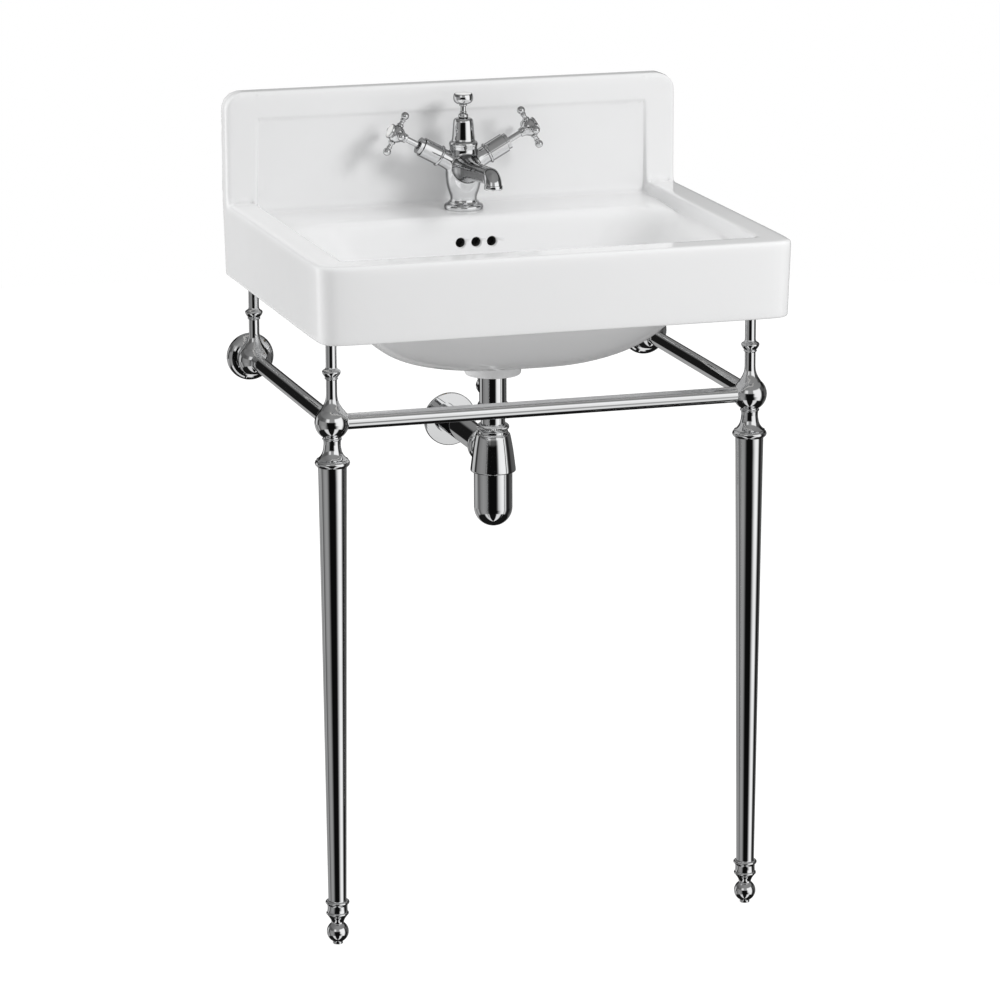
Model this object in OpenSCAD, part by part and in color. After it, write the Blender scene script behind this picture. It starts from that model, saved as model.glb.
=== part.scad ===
// Rectangular washbasin with an upstand on a two-legged metal stand, with a one-hole tap, a pop-up waste
// and a bottle trap. Millimetres. +Z is up, +Y is towards the wall, +X is to the viewer's right.
// The origin is on the floor, under the middle of the basin.

/* [Basin] */
// Width of the basin
basin_w = 580; // [570:1:590]
// Depth of the basin from its front to the wall
basin_d = 470; // [462:1:478]
// Height of the rim above the floor
rim_z = 835; // [830:1:845]
// Height of the apron, from its lower edge to the rim
apron_h = 92; // [88:1:96]
// How far the apron leans in towards its lower edge
apron_draft = 2.5; // [1:0.5:4]
// Thickness of the apron and of the rear wall
apron_t = 14; // [12:0.5:15]
// Height of the upstand above the rim
upstand_h = 137; // [120:1:150]
// Thickness of the upstand
upstand_t = 25; // [22:0.5:28]
// Depth of the sunk panel in the upstand
panel_step = 5; // [3:0.5:7]
// Width of the raised frame on the sides and round the panel
frame_w = 37; // [34:0.5:40]
// Width of the raised frame along the front
front_frame_w = 42; // [38:0.5:46]
// Height of the raised frame above the deck
frame_step = 13; // [10:0.5:15]
// Lean of the frame's inner faces
frame_lean = 3; // [1:0.5:4]
// Radius of the two front corners in plan
front_corner_r = 25; // [20:1:30]
// Radius of the upstand's two top corners
upstand_corner_r = 20; // [14:1:26]
// Radius of the rounded edges
edge_r = 6; // [4:0.5:7]
// Radius of the cove between the deck and the panel
cove_r = 14; // [10:0.5:18]
// Thickness of the deck
deck_t = 14; // [12:0.5:16]

/* [Bowl] */
// Depth of the bowl from the rim to the drain
bowl_depth = 163; // [158:1:166]
// Distance from the wall to the bowl's rear edge
deck_d = 120; // [114:1:124]
// Thickness of the bowl's wall
bowl_t = 13; // [11:0.5:14]
// Radius of the bowl's corners in plan at the deck
bowl_corner_r = 52; // [44:1:60]
// Fall of the bowl's floor towards the drain
floor_fall = 3; // [2:0.5:5]
// Diameter of each overflow hole
overflow_d = 12; // [10:0.5:13]
// Distance between the overflow holes
overflow_pitch = 20; // [18:0.5:24]
// Depth of the overflow holes below the rim
overflow_drop = 46; // [42:1:52]
// Distance between the two wall-bolt holes
bolt_pitch = 280; // [240:5:320]
// Diameter of the wall-bolt holes
bolt_hole_d = 14; // [11:0.5:16]
// Depth of the wall-bolt holes below the rim
bolt_drop = 50; // [44:1:60]

/* [Tap] */
// Distance of the tap from the wall
tap_wall = 67; // [64:0.5:68]
// Diameter of the tap hole in the deck
tap_hole_d = 35; // [34:0.5:36]
// Diameter of the tap's base flange
tap_base_d = 48.7; // [46:0.1:52]
// Height of the tap's base flange
tap_base_h = 6; // [4:0.5:7]
// Diameter of the column at its waist
waist_d = 33; // [31:0.5:36]
// Diameter of the column at its belly
belly_d = 43; // [40:0.5:45]
// Diameter of the tap's upper body
body_d = 35; // [34:0.5:37]
// Height of the tap body above its base face
body_h = 79; // [76:0.5:84]
// Height of the handle axes above the base face, at the centre
arm_h = 48.3; // [46:0.1:50]
// Tilt of the handle axes above level
arm_tilt = 28.5; // [26:0.5:31]
// Diameter of the side branches
branch_d = 22.5; // [22:0.5:24]
// Length of the side branches from the centre
branch_l = 37; // [35:0.5:40]
// Reach of the spout from the tap's centre line
spout_reach = 127; // [120:1:135]
// Outer diameter of the spout at its end
spout_d = 21; // [20:0.5:22]
// Outer diameter of the spout at the body
spout_root_d = 29; // [27:0.5:31]
// Rise of the spout in degrees
spout_rise = 4; // [2:0.5:6]
// Bore of the spout
spout_bore_d = 14; // [12:0.5:15]

/* [Handles] */
// Length of the valve covers
shroud_l = 28.5; // [26:0.5:30]
// Diameter of the valve covers
shroud_d = 24.4; // [24:0.1:26]
// Diameter of the turning spindles
spindle_d = 7.5; // [7:0.1:8]
// Distance from the tap's centre to the middle of each handle
handle_l = 97.9; // [95:0.1:102]
// Distance across opposite balls of a handle, centre to centre
handle_span = 48.8; // [46:0.1:52]
// Diameter of the handles' balls
handle_ball_d = 9.6; // [9:0.1:10.4]
// Diameter of the handles' arms
handle_arm_d = 5.2; // [4.6:0.1:6]
// Diameter of the handles' hubs
hub_d = 19; // [18:0.1:20]
// Diameter of the ceramic discs on the handles
index_d = 15; // [13:0.5:16]

/* [Pop-up] */
// Diameter of the bell at its foot
bell_d = 28.4; // [27:0.1:30]
// Diameter of the bell at its top
bell_top_d = 23; // [21:0.1:25]
// Height of the bell over its ring
bell_h = 28; // [26:0.5:31]
// Diameter of the knob
knob_d = 23.7; // [22:0.1:25]
// Travel of the knob
lift_travel = 28; // [24:1:30]
// Diameter of the lift rod and of the pivot rod
rod_d = 5; // [4.5:0.1:5.5]
// Length of the lift rod below the bell
lift_rod_l = 236; // [226:1:246]
// Slope of the pivot rod at rest, in degrees
rod_rest_a = 6; // [5:0.5:8]

/* [Waste] */
// Distance of the waste from the wall
waste_wall = 189; // [186:0.5:192]
// Diameter of the waste's flange
waste_flange_d = 64; // [62:0.5:66]
// Diameter of the waste's body through the ceramic
waste_body_d = 41.5; // [40:0.1:43]
// Diameter of the waste's tail
tail_d = 33.5; // [33:0.1:35]
// Diameter of the ceramic boss round the waste
boss_d = 70; // [67:0.5:74]
// Height of the ceramic boss from the drain to its lower face
boss_h = 34.5; // [33:0.5:37]
// Height of the waste body's tail below the boss
tail_l = 35; // [33:0.5:38]
// Diameter of the plug
plug_d = 43; // [42:0.5:46]

/* [Trap] */
// Outer diameter of the pipe into the trap
inlet_pipe_d = 30; // [29:0.1:30.4]
// Height of the trap's inlet axis ring above the outlet axis
inlet_rise = 31; // [30:0.5:33]
// Depth of the outlet axis below the ceramic boss
outlet_drop = 96.5; // [94:0.5:99]
// Diameter of the trap's skirt at its top
skirt_top_d = 40; // [39:0.5:42]
// Diameter of the trap's skirt at its foot
skirt_d = 56; // [54:0.5:58]
// Depth of the trap's skirt foot below the outlet axis
skirt_drop = 25; // [23:0.5:27]
// Diameter of the bottle
bottle_d = 47.5; // [46:0.5:49]
// Depth of the bottle's bottom below the outlet axis
bottle_drop = 94; // [88:1:100]
// Outer diameter of the outlet arm
outlet_d = 32; // [31:0.1:33]
// Wall of the pipes
pipe_t = 1.7; // [1.5:0.1:2]
// Diameter of the outlet's wall flange
flange_d = 68; // [62:1:74]

/* [Stand] */
// How far each leg stands in from the side of the basin
leg_inset = 31.5; // [30.5:0.25:33]
// Distance of the legs behind the basin's front
leg_setback = 74.5; // [70:0.5:80]
// Height of the rails above the floor
rail_z = 638.5; // [634:0.5:642]
// Distance of the rear balls from the wall
rear_gap = 24.8; // [24.4:0.1:25.4]
// Diameter of the balls
ball_d = 40.8; // [40:0.1:42]
// Diameter of the rails
rail_d = 19; // [18:0.5:20]
// Diameter of the legs' head rings
ring_d = 42.1; // [40:0.1:44]
// Diameter of the legs at their top
leg_d = 33.6; // [32:0.1:35]
// Diameter of the legs at their foot
leg_foot_d = 21.8; // [20.6:0.1:23]
// Wall of the legs and rails
tube_t = 1.5; // [1.2:0.1:2]
// Diameter of the spindles that carry the basin
post_d = 13.4; // [12.6:0.1:14]
// Diameter of the spindles' knops
knop_d = 22.6; // [21:0.1:24]
// Height of the knops above the rails
knop_rise = 61; // [58:0.5:64]
// Diameter of the wall rosettes
rosette_d = 59; // [57:0.5:61]

/* [Feet] */
// Diameter of the foot balls
foot_ball_d = 26.5; // [25:0.1:28]
// Height of the foot balls' centres
foot_ball_z = 15; // [14.6:0.1:15.6]
// Diameter of the foot collars
foot_collar_d = 25.2; // [24:0.1:26]
// Height of the foot collars' lower edge
foot_collar_z = 36; // [35.5:0.5:38]
// Length of the foot collars
foot_collar_l = 18; // [17:0.5:20]
// Travel of the levelling feet
level_travel = 10; // [6:1:12]

/* [Fits] */
// Radial clearance of a fit
fit = 0.05; // [0.03:0.01:0.08]
// Gap between parts that pass each other
gap = 0.3; // [0.25:0.05:0.4]

/* [Hidden] */
// Overrun of every cut past its face
over = 1;
// Facets of round shapes, and of the posts inside a hull
$fn = 64;
hull_fn = 32;

// Basin places
wall_y = basin_d / 2;
front_y = -basin_d / 2;
half_w = basin_w / 2;
deck_z = rim_z - frame_step;
apron_z = rim_z - apron_h;
top_z = rim_z + upstand_h;
border_y = wall_y - upstand_t;
panel_y = border_y + panel_step;
back_corner_r = 2;
round_steps = 3;
field_half_w = half_w - frame_w;
field_front_y = front_y + front_frame_w;
field_corner_r = 8;
panel_top_z = top_z - frame_w;
drain_z = rim_z - bowl_depth;
bowl_front_y = field_front_y + frame_lean;
bowl_rear_y = wall_y - deck_d;
bowl_half_w = field_half_w - frame_lean;
upstand_fillet_r = 10;
void_top_z = deck_z - deck_t;
void_half_w = half_w - apron_draft - apron_t;
void_front_y = front_y + apron_draft + apron_t;
void_rear_y = wall_y - apron_t;

// Bowl section shares: how much the walls lean in, how square the foot is, and where the rings lie
side_lean_share = 0.38;
front_lean_share = 0.3;
rear_lean_share = 0.12;
foot_square_share = 4.5;
ring_shares = [0, 0.12, 0.26, 0.4, 0.53, 0.65, 0.75, 0.83, 0.89, 0.935, 0.967, 0.988, 0.998];
corner_steps = 6;
bowl_corner_grow = 26;
bowl_ring_z0 = deck_z;
bowl_drop = deck_z - drain_z;

// Support lugs under the basin
lug_w = 36;
lug_d = 30;
lug_drop = 79;
lug_z = rim_z - lug_drop;
stand_x = half_w - leg_inset;
legs_y = front_y + leg_setback;
rear_y = wall_y - rear_gap;
lug_shift_x = 1;

// Waste boss and overflow duct
waste_y = wall_y - waste_wall;
boss_z = drain_z - boss_h;
boss_edge_r = 5;
nut_recess_d = 58;
nut_recess_h = 14;
waste_seat_h = 4.5;
waste_well_h = 12;
waste_hole_clear = 1.75;
duct_w = 72;
duct_wall = 8;
duct_gap = 9;
duct_seat = 5;
duct_bend_h = 41;
duct_heel_h = 6;
duct_heel_run = 31;
duct_toe_run = 4;
duct_rear_y = bowl_rear_y + bowl_t + duct_gap;
duct_top_z = void_top_z + over;
duct_foot_z = boss_z + nut_recess_h + duct_seat - duct_wall;
duct_elbow_z = drain_z + duct_bend_h;
duct_heel_z = drain_z + duct_heel_h;
duct_heel_y = waste_y + boss_d / 2 + duct_heel_run;
duct_toe_y = waste_y + boss_d / 2 + duct_toe_run;
overflow_z = rim_z - overflow_drop;

// Tap places
tap_y = wall_y - tap_wall;
gasket_t = 2;
tap_z = deck_z + gasket_t;
arm_z = tap_z + arm_h;
waist_h = tap_base_h + 3;
belly_h = 36;
shoulder_h = 53;
top_bevel = 1.5;
column_steps = 7;
shank_d = 33;
shank_h = 10;
inlet_x = 9.5;
inlet_y = -3.5;
inlet_d = 9;
inlet_socket_l = 12;
inlet_bore_d = 7;
stud_d = 6;
stud_y = 10.5;
stud_seat_h = 12;
stud_l = 46;
cartridge_d = 16.8;
cartridge_z = 18;
cartridge_neck_d = 14;
cartridge_floor = 4;
cartridge_out = 14;
mix_bore_d = 7;
mix_y = -9;
elbow_r = 13;
lip_h = 1.2;
joint_step = 0.2;
elbow_in = 1.5;
elbow_y = tap_y - spout_reach + elbow_r * (1 + sin(spout_rise));
elbow_z = arm_z + (tap_y - elbow_y) * tan(spout_rise);
outlet_z = elbow_z - elbow_r * cos(spout_rise) - lip_h;
aerator_l = 1.2;
aerator_d = spout_bore_d + 2 * joint_step - 2 * fit;
aerator_hole_d = 2;
aerator_ring_r = 3.6;
aerator_holes = 6;
ring_h = 3;
ring_over = 1.4;
shroud_t = 1.6;
shroud_step_d = 21;
shroud_step_l = 5;
shroud_groove = 1;
shroud_hole_d = spindle_d + 3;
spindle_in = 22.5;
hub_neck_d = 11;
hub_neck_l = 14;
hub_collar_d = 16.5;
hub_collar_l = 4.5;
hub_face = handle_l + 9;
index_t = 2.6;
index_seat = 1;

// Pop-up places
bell_ring_d = 32;
bell_ring_h = 3.6;
bell_z = tap_z + body_h;
bell_top_r = 4;
bell_bore_d = 12;
gland_d = 12.4;
gland_h = 6;
gland_foot = 4;
gland_z = bell_z + bell_ring_h + bell_h;
stem_d = 7;
stem_l = 12.4;
knob_z = gland_z + gland_h + gap;
knob_bead_d = 10;
knob_bead_h = 3;
knob_cup_h = 12;
knob_cup_side_h = 5;
knob_seat = 1.6;
knob_rim_t = 1.5;
disc_t = 3.4;
rod_top_z = knob_z + stem_l;
rod_foot_z = bell_z - lift_rod_l + bell_h;
strap_w = 12;
strap_t = 2;
block_w = 12;
block_d = 9;
block_h = 16;
screw_d = 4;
screw_head_d = 9;
screw_head_l = 4;
pivot_drop = 20.5;
pivot_z = boss_z - pivot_drop;
pivot_arm = 22;
pivot_y = waste_y + pivot_arm;
strap_y = tap_y + block_d / 2 + strap_t / 2;
strap_arm = strap_y - pivot_y;
rod_full_a = atan(tan(rod_rest_a) + lift_travel / strap_arm);
port_a = (rod_rest_a + rod_full_a) / 2;
rod_hole_z = pivot_z + strap_arm * tan(rod_rest_a);
strap_hole_d = 8;
strap_hole_pitch = 12;
strap_holes = 4;
strap_foot = 7;
strap_top_z = rod_foot_z + block_h;
rod_out = 12;
rod_in = 3.5;
ball_pivot_d = 11;
port_d = 19;
port_bore_d = ball_pivot_d + 2 * gap;
port_l = 6.5;
pivot_nut_d = 26;
pivot_nut_wall = 3;
pivot_nut_back = 3;
pivot_nut_dome = 2;
pivot_hole_d = 8.6;

// Waste body
waste_flange_t = 3;
seal_t = 1.5;
waste_top_z = drain_z - waste_seat_h + seal_t + waste_flange_t;
waste_bore_d = 36;
waste_floor_t = 4;
waste_shoulder_h = 3;
waste_shoulder_z = boss_z + waste_shoulder_h;
tail_bore_d = inlet_pipe_d + 2 * fit;
tail_z = boss_z - tail_l;
slot_h = 9;
slot_w = 26;
slot_drop = 17;
slot_z = drain_z - slot_drop;
nut_d = 54;
nut_h = 9;
lower_seal_t = 4;
recess_z = boss_z + nut_recess_h;
plug_t = 4;
plug_dome = 2;
plug_drop = pivot_arm * (tan(rod_full_a) - tan(rod_rest_a));
plug_seal_t = 2;
plug_z = waste_top_z + gap + plug_drop + plug_seal_t;
plug_stem_w = 14;
plug_seal_hole = 21;
plug_stem_t = 3;
eye_d = 7.2;
eye_z = pivot_z - pivot_arm * tan(rod_rest_a);
plug_foot = 8;
plug_seal_d = 38;

// Trap places
outlet_z0 = boss_z - outlet_drop;
collar_d = 37.5;
collar_h = 5;
pipe_in = 7;
inlet_z = outlet_z0 + inlet_rise;
inlet_bead_h = 8;
inlet_bead_d = 40.3;
inlet_nut_d = 37;
inlet_nut_h = 7.5;
inlet_spigot_d = 34;
inlet_spigot_h = 9;
inlet_seal_t = 2;
skirt_top_z = inlet_z - inlet_bead_h / 2 - inlet_nut_h;
skirt_z = outlet_z0 - skirt_drop;
skirt_t = 3;
skirt_band_h = 3;
dip_d = 32;
dip_foot_h = 30;
dip_z = outlet_z0 - bottle_drop + dip_foot_h;
bottle_t = 2;
bottle_in = 18;
bottle_lip = 1.5;
bottle_z = outlet_z0 - bottle_drop;
outlet_port_d = 36;
outlet_port_l = 40;
port_lip = 0.9;
outlet_nut_d = 44;
outlet_nut_l = 14;
outlet_nut_wall = 3;
arm_in = 8;
hub_flange_d = 38;
hub_flange_h = 13;
flange_t = 3;
flange_edge = 1;

// Stand places
stud_hole_d = 8;
head_stud_l = 9;
head_top_drop = 16;
head_top_z = rail_z - head_top_drop;
neck_top_d = 25.6;
neck_min_d = 20.8;
neck_min_share = 0.62;
neck_foot_d = 29.7;
neck_h = 23;
neck_lip = 1.6;
ring_h2 = 8;
ring_drop = 48.5;
ring_z = rail_z - ring_drop;
spigot_l = 24;
cone_rise = 15.5;
cone_z = rail_z + cone_rise;
cone_foot_d = 25.6;
cone_lip = 2;
cone_h = 15;
cone_cut_r = 24;
step_ring_d = 16.5;
step_ring_h = 3;
step_drop = 9.5;
knop_h = 12;
knop_edge_r = 4.5;
buffer_d = 20;
buffer_t = 4;
buffer_skirt = 8;
buffer_z = lug_z - buffer_t;
socket_in = 8;
rail_end = sqrt(pow(ball_d / 2, 2) - pow(rail_d / 2, 2)) - socket_in;
plate_d = 42;
plate_t = 3;
plate_hole_pitch = 30;
plate_hole_d = 5;
plate_stud_l = 13;
rosette_h = 12.5;
rosette_edge = 3;
rosette_t = 2;
rosette_nose_d = 36;
collar_ring_d = 29;
collar_ring_h = 4;
collar_ring2_d = 27.6;
foot_neck_d = 15.6;
foot_stud_d = 10;
foot_stud_l = 30;
foot_pad_d = 12;
foot_pad_h = 3;
leg_z = foot_collar_z + foot_collar_l;
foot_top_z = foot_collar_z - gap;

// Shapes that more than one piece uses

// A round tube or rod along +Z
module tube(od, id, h) {
    difference() {
        cylinder(d = od, h = h);
        translate([0, 0, -over])
            cylinder(d = id, h = h + 2 * over);
    }
}

// A turned ring with a half-round edge
module bead(od, h) {
    rotate_extrude() {
        square([od / 2 - h / 2, h]);
        translate([od / 2 - h / 2, h / 2])
            circle(d = h);
    }
}

// A turned disc with rounded edges
module round_disc(od, h, r) {
    rotate_extrude() {
        square([od / 2 - r, h]);
        translate([0, r])
            square([od / 2, h - 2 * r]);
        for (z = [r, h - r])
            translate([od / 2 - r, z])
                circle(r = r);
    }
}

// Lays its children along +Y
module along_y() {
    rotate([-90, 0, 0])
        children();
}

// Lays its children along +X
module along_x() {
    rotate([0, 90, 0])
        children();
}

// Puts its children on a handle axis: side -1 is hot, side 1 is cold
module on_arm(side) {
    translate([0, tap_y, arm_z])
        rotate([0, side * (90 - arm_tilt), 0])
            children();
}

// Puts its children at the waste's centre line
module at_waste(z) {
    translate([0, waste_y, z])
        children();
}

// Points on a smooth step between two radii, for a turned profile
function blend_points(r0, z0, r1, z1, n) = [
    for (i = [0:n])
        [r0 + (r1 - r0) * (1 - cos(180 * i / n)) / 2, z0 + (z1 - z0) * i / n]
];

// Basin

// Four round posts at the corners of a rounded rectangle
module corner_posts(hw, y0, y1, r0, r1, z, h) {
    for (side = [-1, 1]) {
        translate([side * (hw - r0), y0 + r0, z])
            cylinder(r = r0, h = h, $fn = hull_fn);
        translate([side * (hw - r1), y1 - r1, z])
            cylinder(r = r1, h = h, $fn = hull_fn);
    }
}

// The box of the basin up to its rim, with leaning sides and a rounded top edge
module basin_block() {
    hull() {
        corner_posts(half_w - apron_draft, front_y + apron_draft, wall_y, front_corner_r,
            back_corner_r, apron_z, gap);
        for (i = [0:round_steps]) {
            a = 90 * i / round_steps;
            inset = edge_r * (1 - cos(a));
            corner_posts(half_w - inset, front_y + inset, wall_y, front_corner_r - inset,
                back_corner_r, rim_z - edge_r + edge_r * sin(a) - gap, gap);
        }
    }
}

// The upstand, with round top corners and a rounded front edge
module upstand_block() {
    hull() {
        for (side = [-1, 1]) {
            for (i = [0:round_steps]) {
                a = 90 * i / round_steps;
                inset = edge_r * (1 - cos(a));
                depth = upstand_t - edge_r + edge_r * sin(a);
                translate([side * (half_w - upstand_corner_r), wall_y, top_z - upstand_corner_r])
                    rotate([90, 0, 0])
                        cylinder(r = upstand_corner_r - inset, h = depth, $fn = hull_fn);
                translate([side * (half_w - back_corner_r - inset), wall_y - depth / 2, rim_z - edge_r])
                    cube([2 * back_corner_r, depth, gap], center = true);
            }
        }
    }
}

// A concave fillet along X, of radius r, its corner at the origin, open towards -Y and +Z
module fillet_x(r, l) {
    rotate([90, 0, 90])
        linear_extrude(height = l)
            difference() {
                translate([-r, -r])
                    square([2 * r, 2 * r]);
                translate([-r, r])
                    circle(r = r);
                translate([-2 * r, r])
                    square([3 * r, r]);
                translate([-2 * r, -r])
                    square([r, 2 * r]);
            }
}

// The sunk field inside the raised frame, in front of the upstand
module field_cut() {
    hull() {
        corner_posts(bowl_half_w, bowl_front_y, panel_y, field_corner_r, back_corner_r, deck_z, gap);
        corner_posts(field_half_w, field_front_y, panel_y, field_corner_r, back_corner_r,
            rim_z + over, gap);
    }
}

// The sunk panel in the upstand
module panel_cut() {
    hull() {
        for (side = [-1, 1]) {
            for (deep = [0, 1]) {
                hw = field_half_w - frame_lean * deep;
                y0 = border_y - over * (1 - deep);
                t = (deep == 1) ? panel_step : over;
                translate([side * (hw - field_corner_r), y0 + t, panel_top_z - field_corner_r
                    - frame_lean * deep])
                    rotate([90, 0, 0])
                        cylinder(r = field_corner_r, h = t, $fn = hull_fn);
                translate([side * (hw - back_corner_r), y0 + t / 2, deck_z + back_corner_r])
                    cube([2 * back_corner_r, t, 2 * back_corner_r], center = true);
            }
        }
    }
}

// How wide the bowl still is at a share of its depth
function foot_share(u) = pow(1 - pow(u, foot_square_share), 1 / foot_square_share);

// One level ring of the bowl at depth share u, grown outwards by g
function bowl_ring(u, g) =
    let (
        hw = bowl_half_w * (1 - side_lean_share * u) * foot_share(u) + g,
        y0 = waste_y - (waste_y - bowl_front_y) * (1 - front_lean_share * u) * foot_share(u) - g,
        y1 = waste_y + (bowl_rear_y - waste_y) * (1 - rear_lean_share * u) * foot_share(u) + g,
        r = min(bowl_corner_r + bowl_corner_grow * u + g, hw - gap, (y1 - y0) / 2 - gap),
        z = bowl_ring_z0 - (bowl_drop - floor_fall) * u - g * u
    )
    [
        for (quarter = [0:3])
            for (i = [0:corner_steps])
                let (
                    a = 90 * (quarter + i / corner_steps),
                    cx = (quarter == 0 || quarter == 3) ? hw - r : r - hw,
                    cy = (quarter < 2) ? y1 - r : y0 + r
                )
                [cx + r * cos(a), cy + r * sin(a), z]
    ];

// A closed solid through the bowl's rings, with a lid raised by lid and a point at the drain
module bowl_solid(g, lid) {
    n = 4 * (corner_steps + 1);
    rings = len(ring_shares);
    lid_ring = [for (p = bowl_ring(0, g)) [p[0], p[1], p[2] + lid]];
    body = [for (u = ring_shares) each bowl_ring(u, g)];
    drain = [[0, waste_y, drain_z - g]];
    last = (rings + 1) * n;
    polyhedron(
        points = concat(lid_ring, body, drain),
        faces = concat(
            [[for (i = [n - 1:-1:0]) i]],
            [
                for (k = [0:rings - 1])
                    for (i = [0:n - 1])
                        [k * n + i, k * n + (i + 1) % n, (k + 1) * n + (i + 1) % n]
            ],
            [
                for (k = [0:rings - 1])
                    for (i = [0:n - 1])
                        [k * n + i, (k + 1) * n + (i + 1) % n, (k + 1) * n + i]
            ],
            [for (i = [0:n - 1]) [rings * n + i, rings * n + (i + 1) % n, last]]
        )
    );
}

// The overflow duct down the back of the bowl: grow 0 is its inside, grow 1 its outside
module duct(grow) {
    w = duct_w - 2 * duct_wall * (1 - grow);
    o = duct_wall * grow;
    cave_top = duct_top_z - duct_wall;
    translate([-w / 2, 0, 0])
        rotate([90, 0, 90])
            linear_extrude(height = w)
                polygon([
                    [duct_rear_y - duct_gap - o, cave_top + o],
                    [duct_rear_y + o, cave_top + o],
                    [duct_rear_y + o, duct_elbow_z - o / 2],
                    [duct_heel_y + o, duct_heel_z - o],
                    [duct_toe_y + o / 2, duct_foot_z + duct_wall - o],
                    [waste_y, duct_foot_z + duct_wall - o],
                    [waste_y, duct_foot_z + duct_wall + duct_gap + o],
                    [duct_toe_y - o / 2, duct_foot_z + duct_wall + duct_gap + o],
                    [duct_heel_y - duct_gap - o, duct_heel_z + duct_gap / 2 + o],
                    [duct_rear_y - duct_gap - o, duct_elbow_z + duct_gap / 2 + o]
                ]);
}

module basin() {
    color("white")
    difference() {
        union() {
            difference() {
                union() {
                    basin_block();
                    upstand_block();
                }
                translate([-void_half_w, void_front_y, apron_z - over])
                    cube([2 * void_half_w, void_rear_y - void_front_y, void_top_z - apron_z + over]);
            }
            translate([0, 0, 0])
                bowl_solid(bowl_t, 0);
            for (side = [-1, 1])
                for (y = [legs_y, rear_y])
                    translate([side * (stand_x + lug_shift_x) - lug_w / 2, y - lug_d / 2, lug_z])
                        cube([lug_w, lug_d, void_top_z - lug_z + over]);
            at_waste(boss_z)
                rotate_extrude() {
                    translate([0, boss_edge_r])
                        square([boss_d / 2, boss_h - waste_seat_h - boss_edge_r]);
                    square([boss_d / 2 - boss_edge_r, boss_edge_r]);
                    translate([boss_d / 2 - boss_edge_r, boss_edge_r])
                        circle(r = boss_edge_r);
                }
            intersection() {
                duct(1);
                translate([-duct_w / 2, waste_y, boss_z + over])
                    cube([duct_w, void_rear_y - waste_y, void_top_z - boss_z]);
            }
        }
        bowl_solid(0, frame_step + over);
        field_cut();
        panel_cut();
        duct(0);
        for (i = [-1:1])
            translate([i * overflow_pitch, bowl_rear_y - bowl_t, overflow_z])
                along_y()
                    cylinder(d = overflow_d, h = duct_rear_y - bowl_rear_y + bowl_t - over);
        translate([0, tap_y, void_top_z - over])
            cylinder(d = tap_hole_d, h = deck_t + 2 * over);
        at_waste(boss_z - over)
            cylinder(d = waste_body_d + 2 * waste_hole_clear, h = boss_h + 2 * over);
        at_waste(boss_z - over)
            cylinder(d = nut_recess_d, h = nut_recess_h + over);
        at_waste(drain_z - waste_seat_h)
            cylinder(d = waste_flange_d + 2 * gap, h = waste_seat_h + waste_well_h);
        for (side = [-1, 1])
            translate([side * bolt_pitch / 2, void_rear_y - over, rim_z - bolt_drop])
                along_y()
                    cylinder(d = bolt_hole_d, h = apron_t + 2 * over);
    }
    color("white")
    translate([-field_half_w + frame_lean + gap, panel_y, deck_z])
        fillet_x(cove_r, 2 * (field_half_w - frame_lean - gap));
    color("white")
    for (side = [-1, 1])
        translate([(side == 1) ? field_half_w + gap : -half_w + edge_r, border_y, rim_z])
            fillet_x(upstand_fillet_r, frame_w - edge_r - gap);
}

// Tap

// The turned column from the base flange to the top of the body
module tap_column() {
    rotate_extrude()
        polygon(concat(
            [[0, 0], [tap_base_d / 2, 0], [tap_base_d / 2, tap_base_h - top_bevel],
                [tap_base_d / 2 - top_bevel, tap_base_h]],
            blend_points(waist_d / 2 + top_bevel, tap_base_h, waist_d / 2, waist_h, column_steps),
            blend_points(waist_d / 2, waist_h + top_bevel, belly_d / 2, belly_h, column_steps),
            blend_points(belly_d / 2, belly_h + top_bevel, body_d / 2, shoulder_h, column_steps),
            [[body_d / 2, body_h - top_bevel], [body_d / 2 - top_bevel, body_h], [0, body_h]]
        ));
}

// The spout's outside, or its bore: a straight run, an elbow and a short end, each a step wider
module spout(bore) {
    end_d = bore ? spout_bore_d : spout_d;
    root_d = bore ? spout_bore_d - 2 * joint_step : spout_root_d;
    start = bore ? -mix_y : 0;
    run = (tap_y - elbow_y) / cos(spout_rise);
    extra = bore ? over : 0;
    translate([0, tap_y, arm_z])
        rotate([90 - spout_rise, 0, 0])
            translate([0, 0, start])
                cylinder(d1 = root_d, d2 = end_d - 2 * joint_step, h = run - start + elbow_in);
    translate([0, elbow_y - elbow_r * sin(spout_rise), elbow_z - elbow_r * cos(spout_rise)])
        rotate([90, 0, 90])
            rotate([0, 0, 90 - spout_rise])
                rotate_extrude(angle = 90 + spout_rise)
                    translate([elbow_r, 0])
                        circle(d = end_d);
    translate([0, tap_y - spout_reach, outlet_z - extra])
        cylinder(d = end_d + 2 * joint_step, h = lip_h + joint_step + extra);
}

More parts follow.
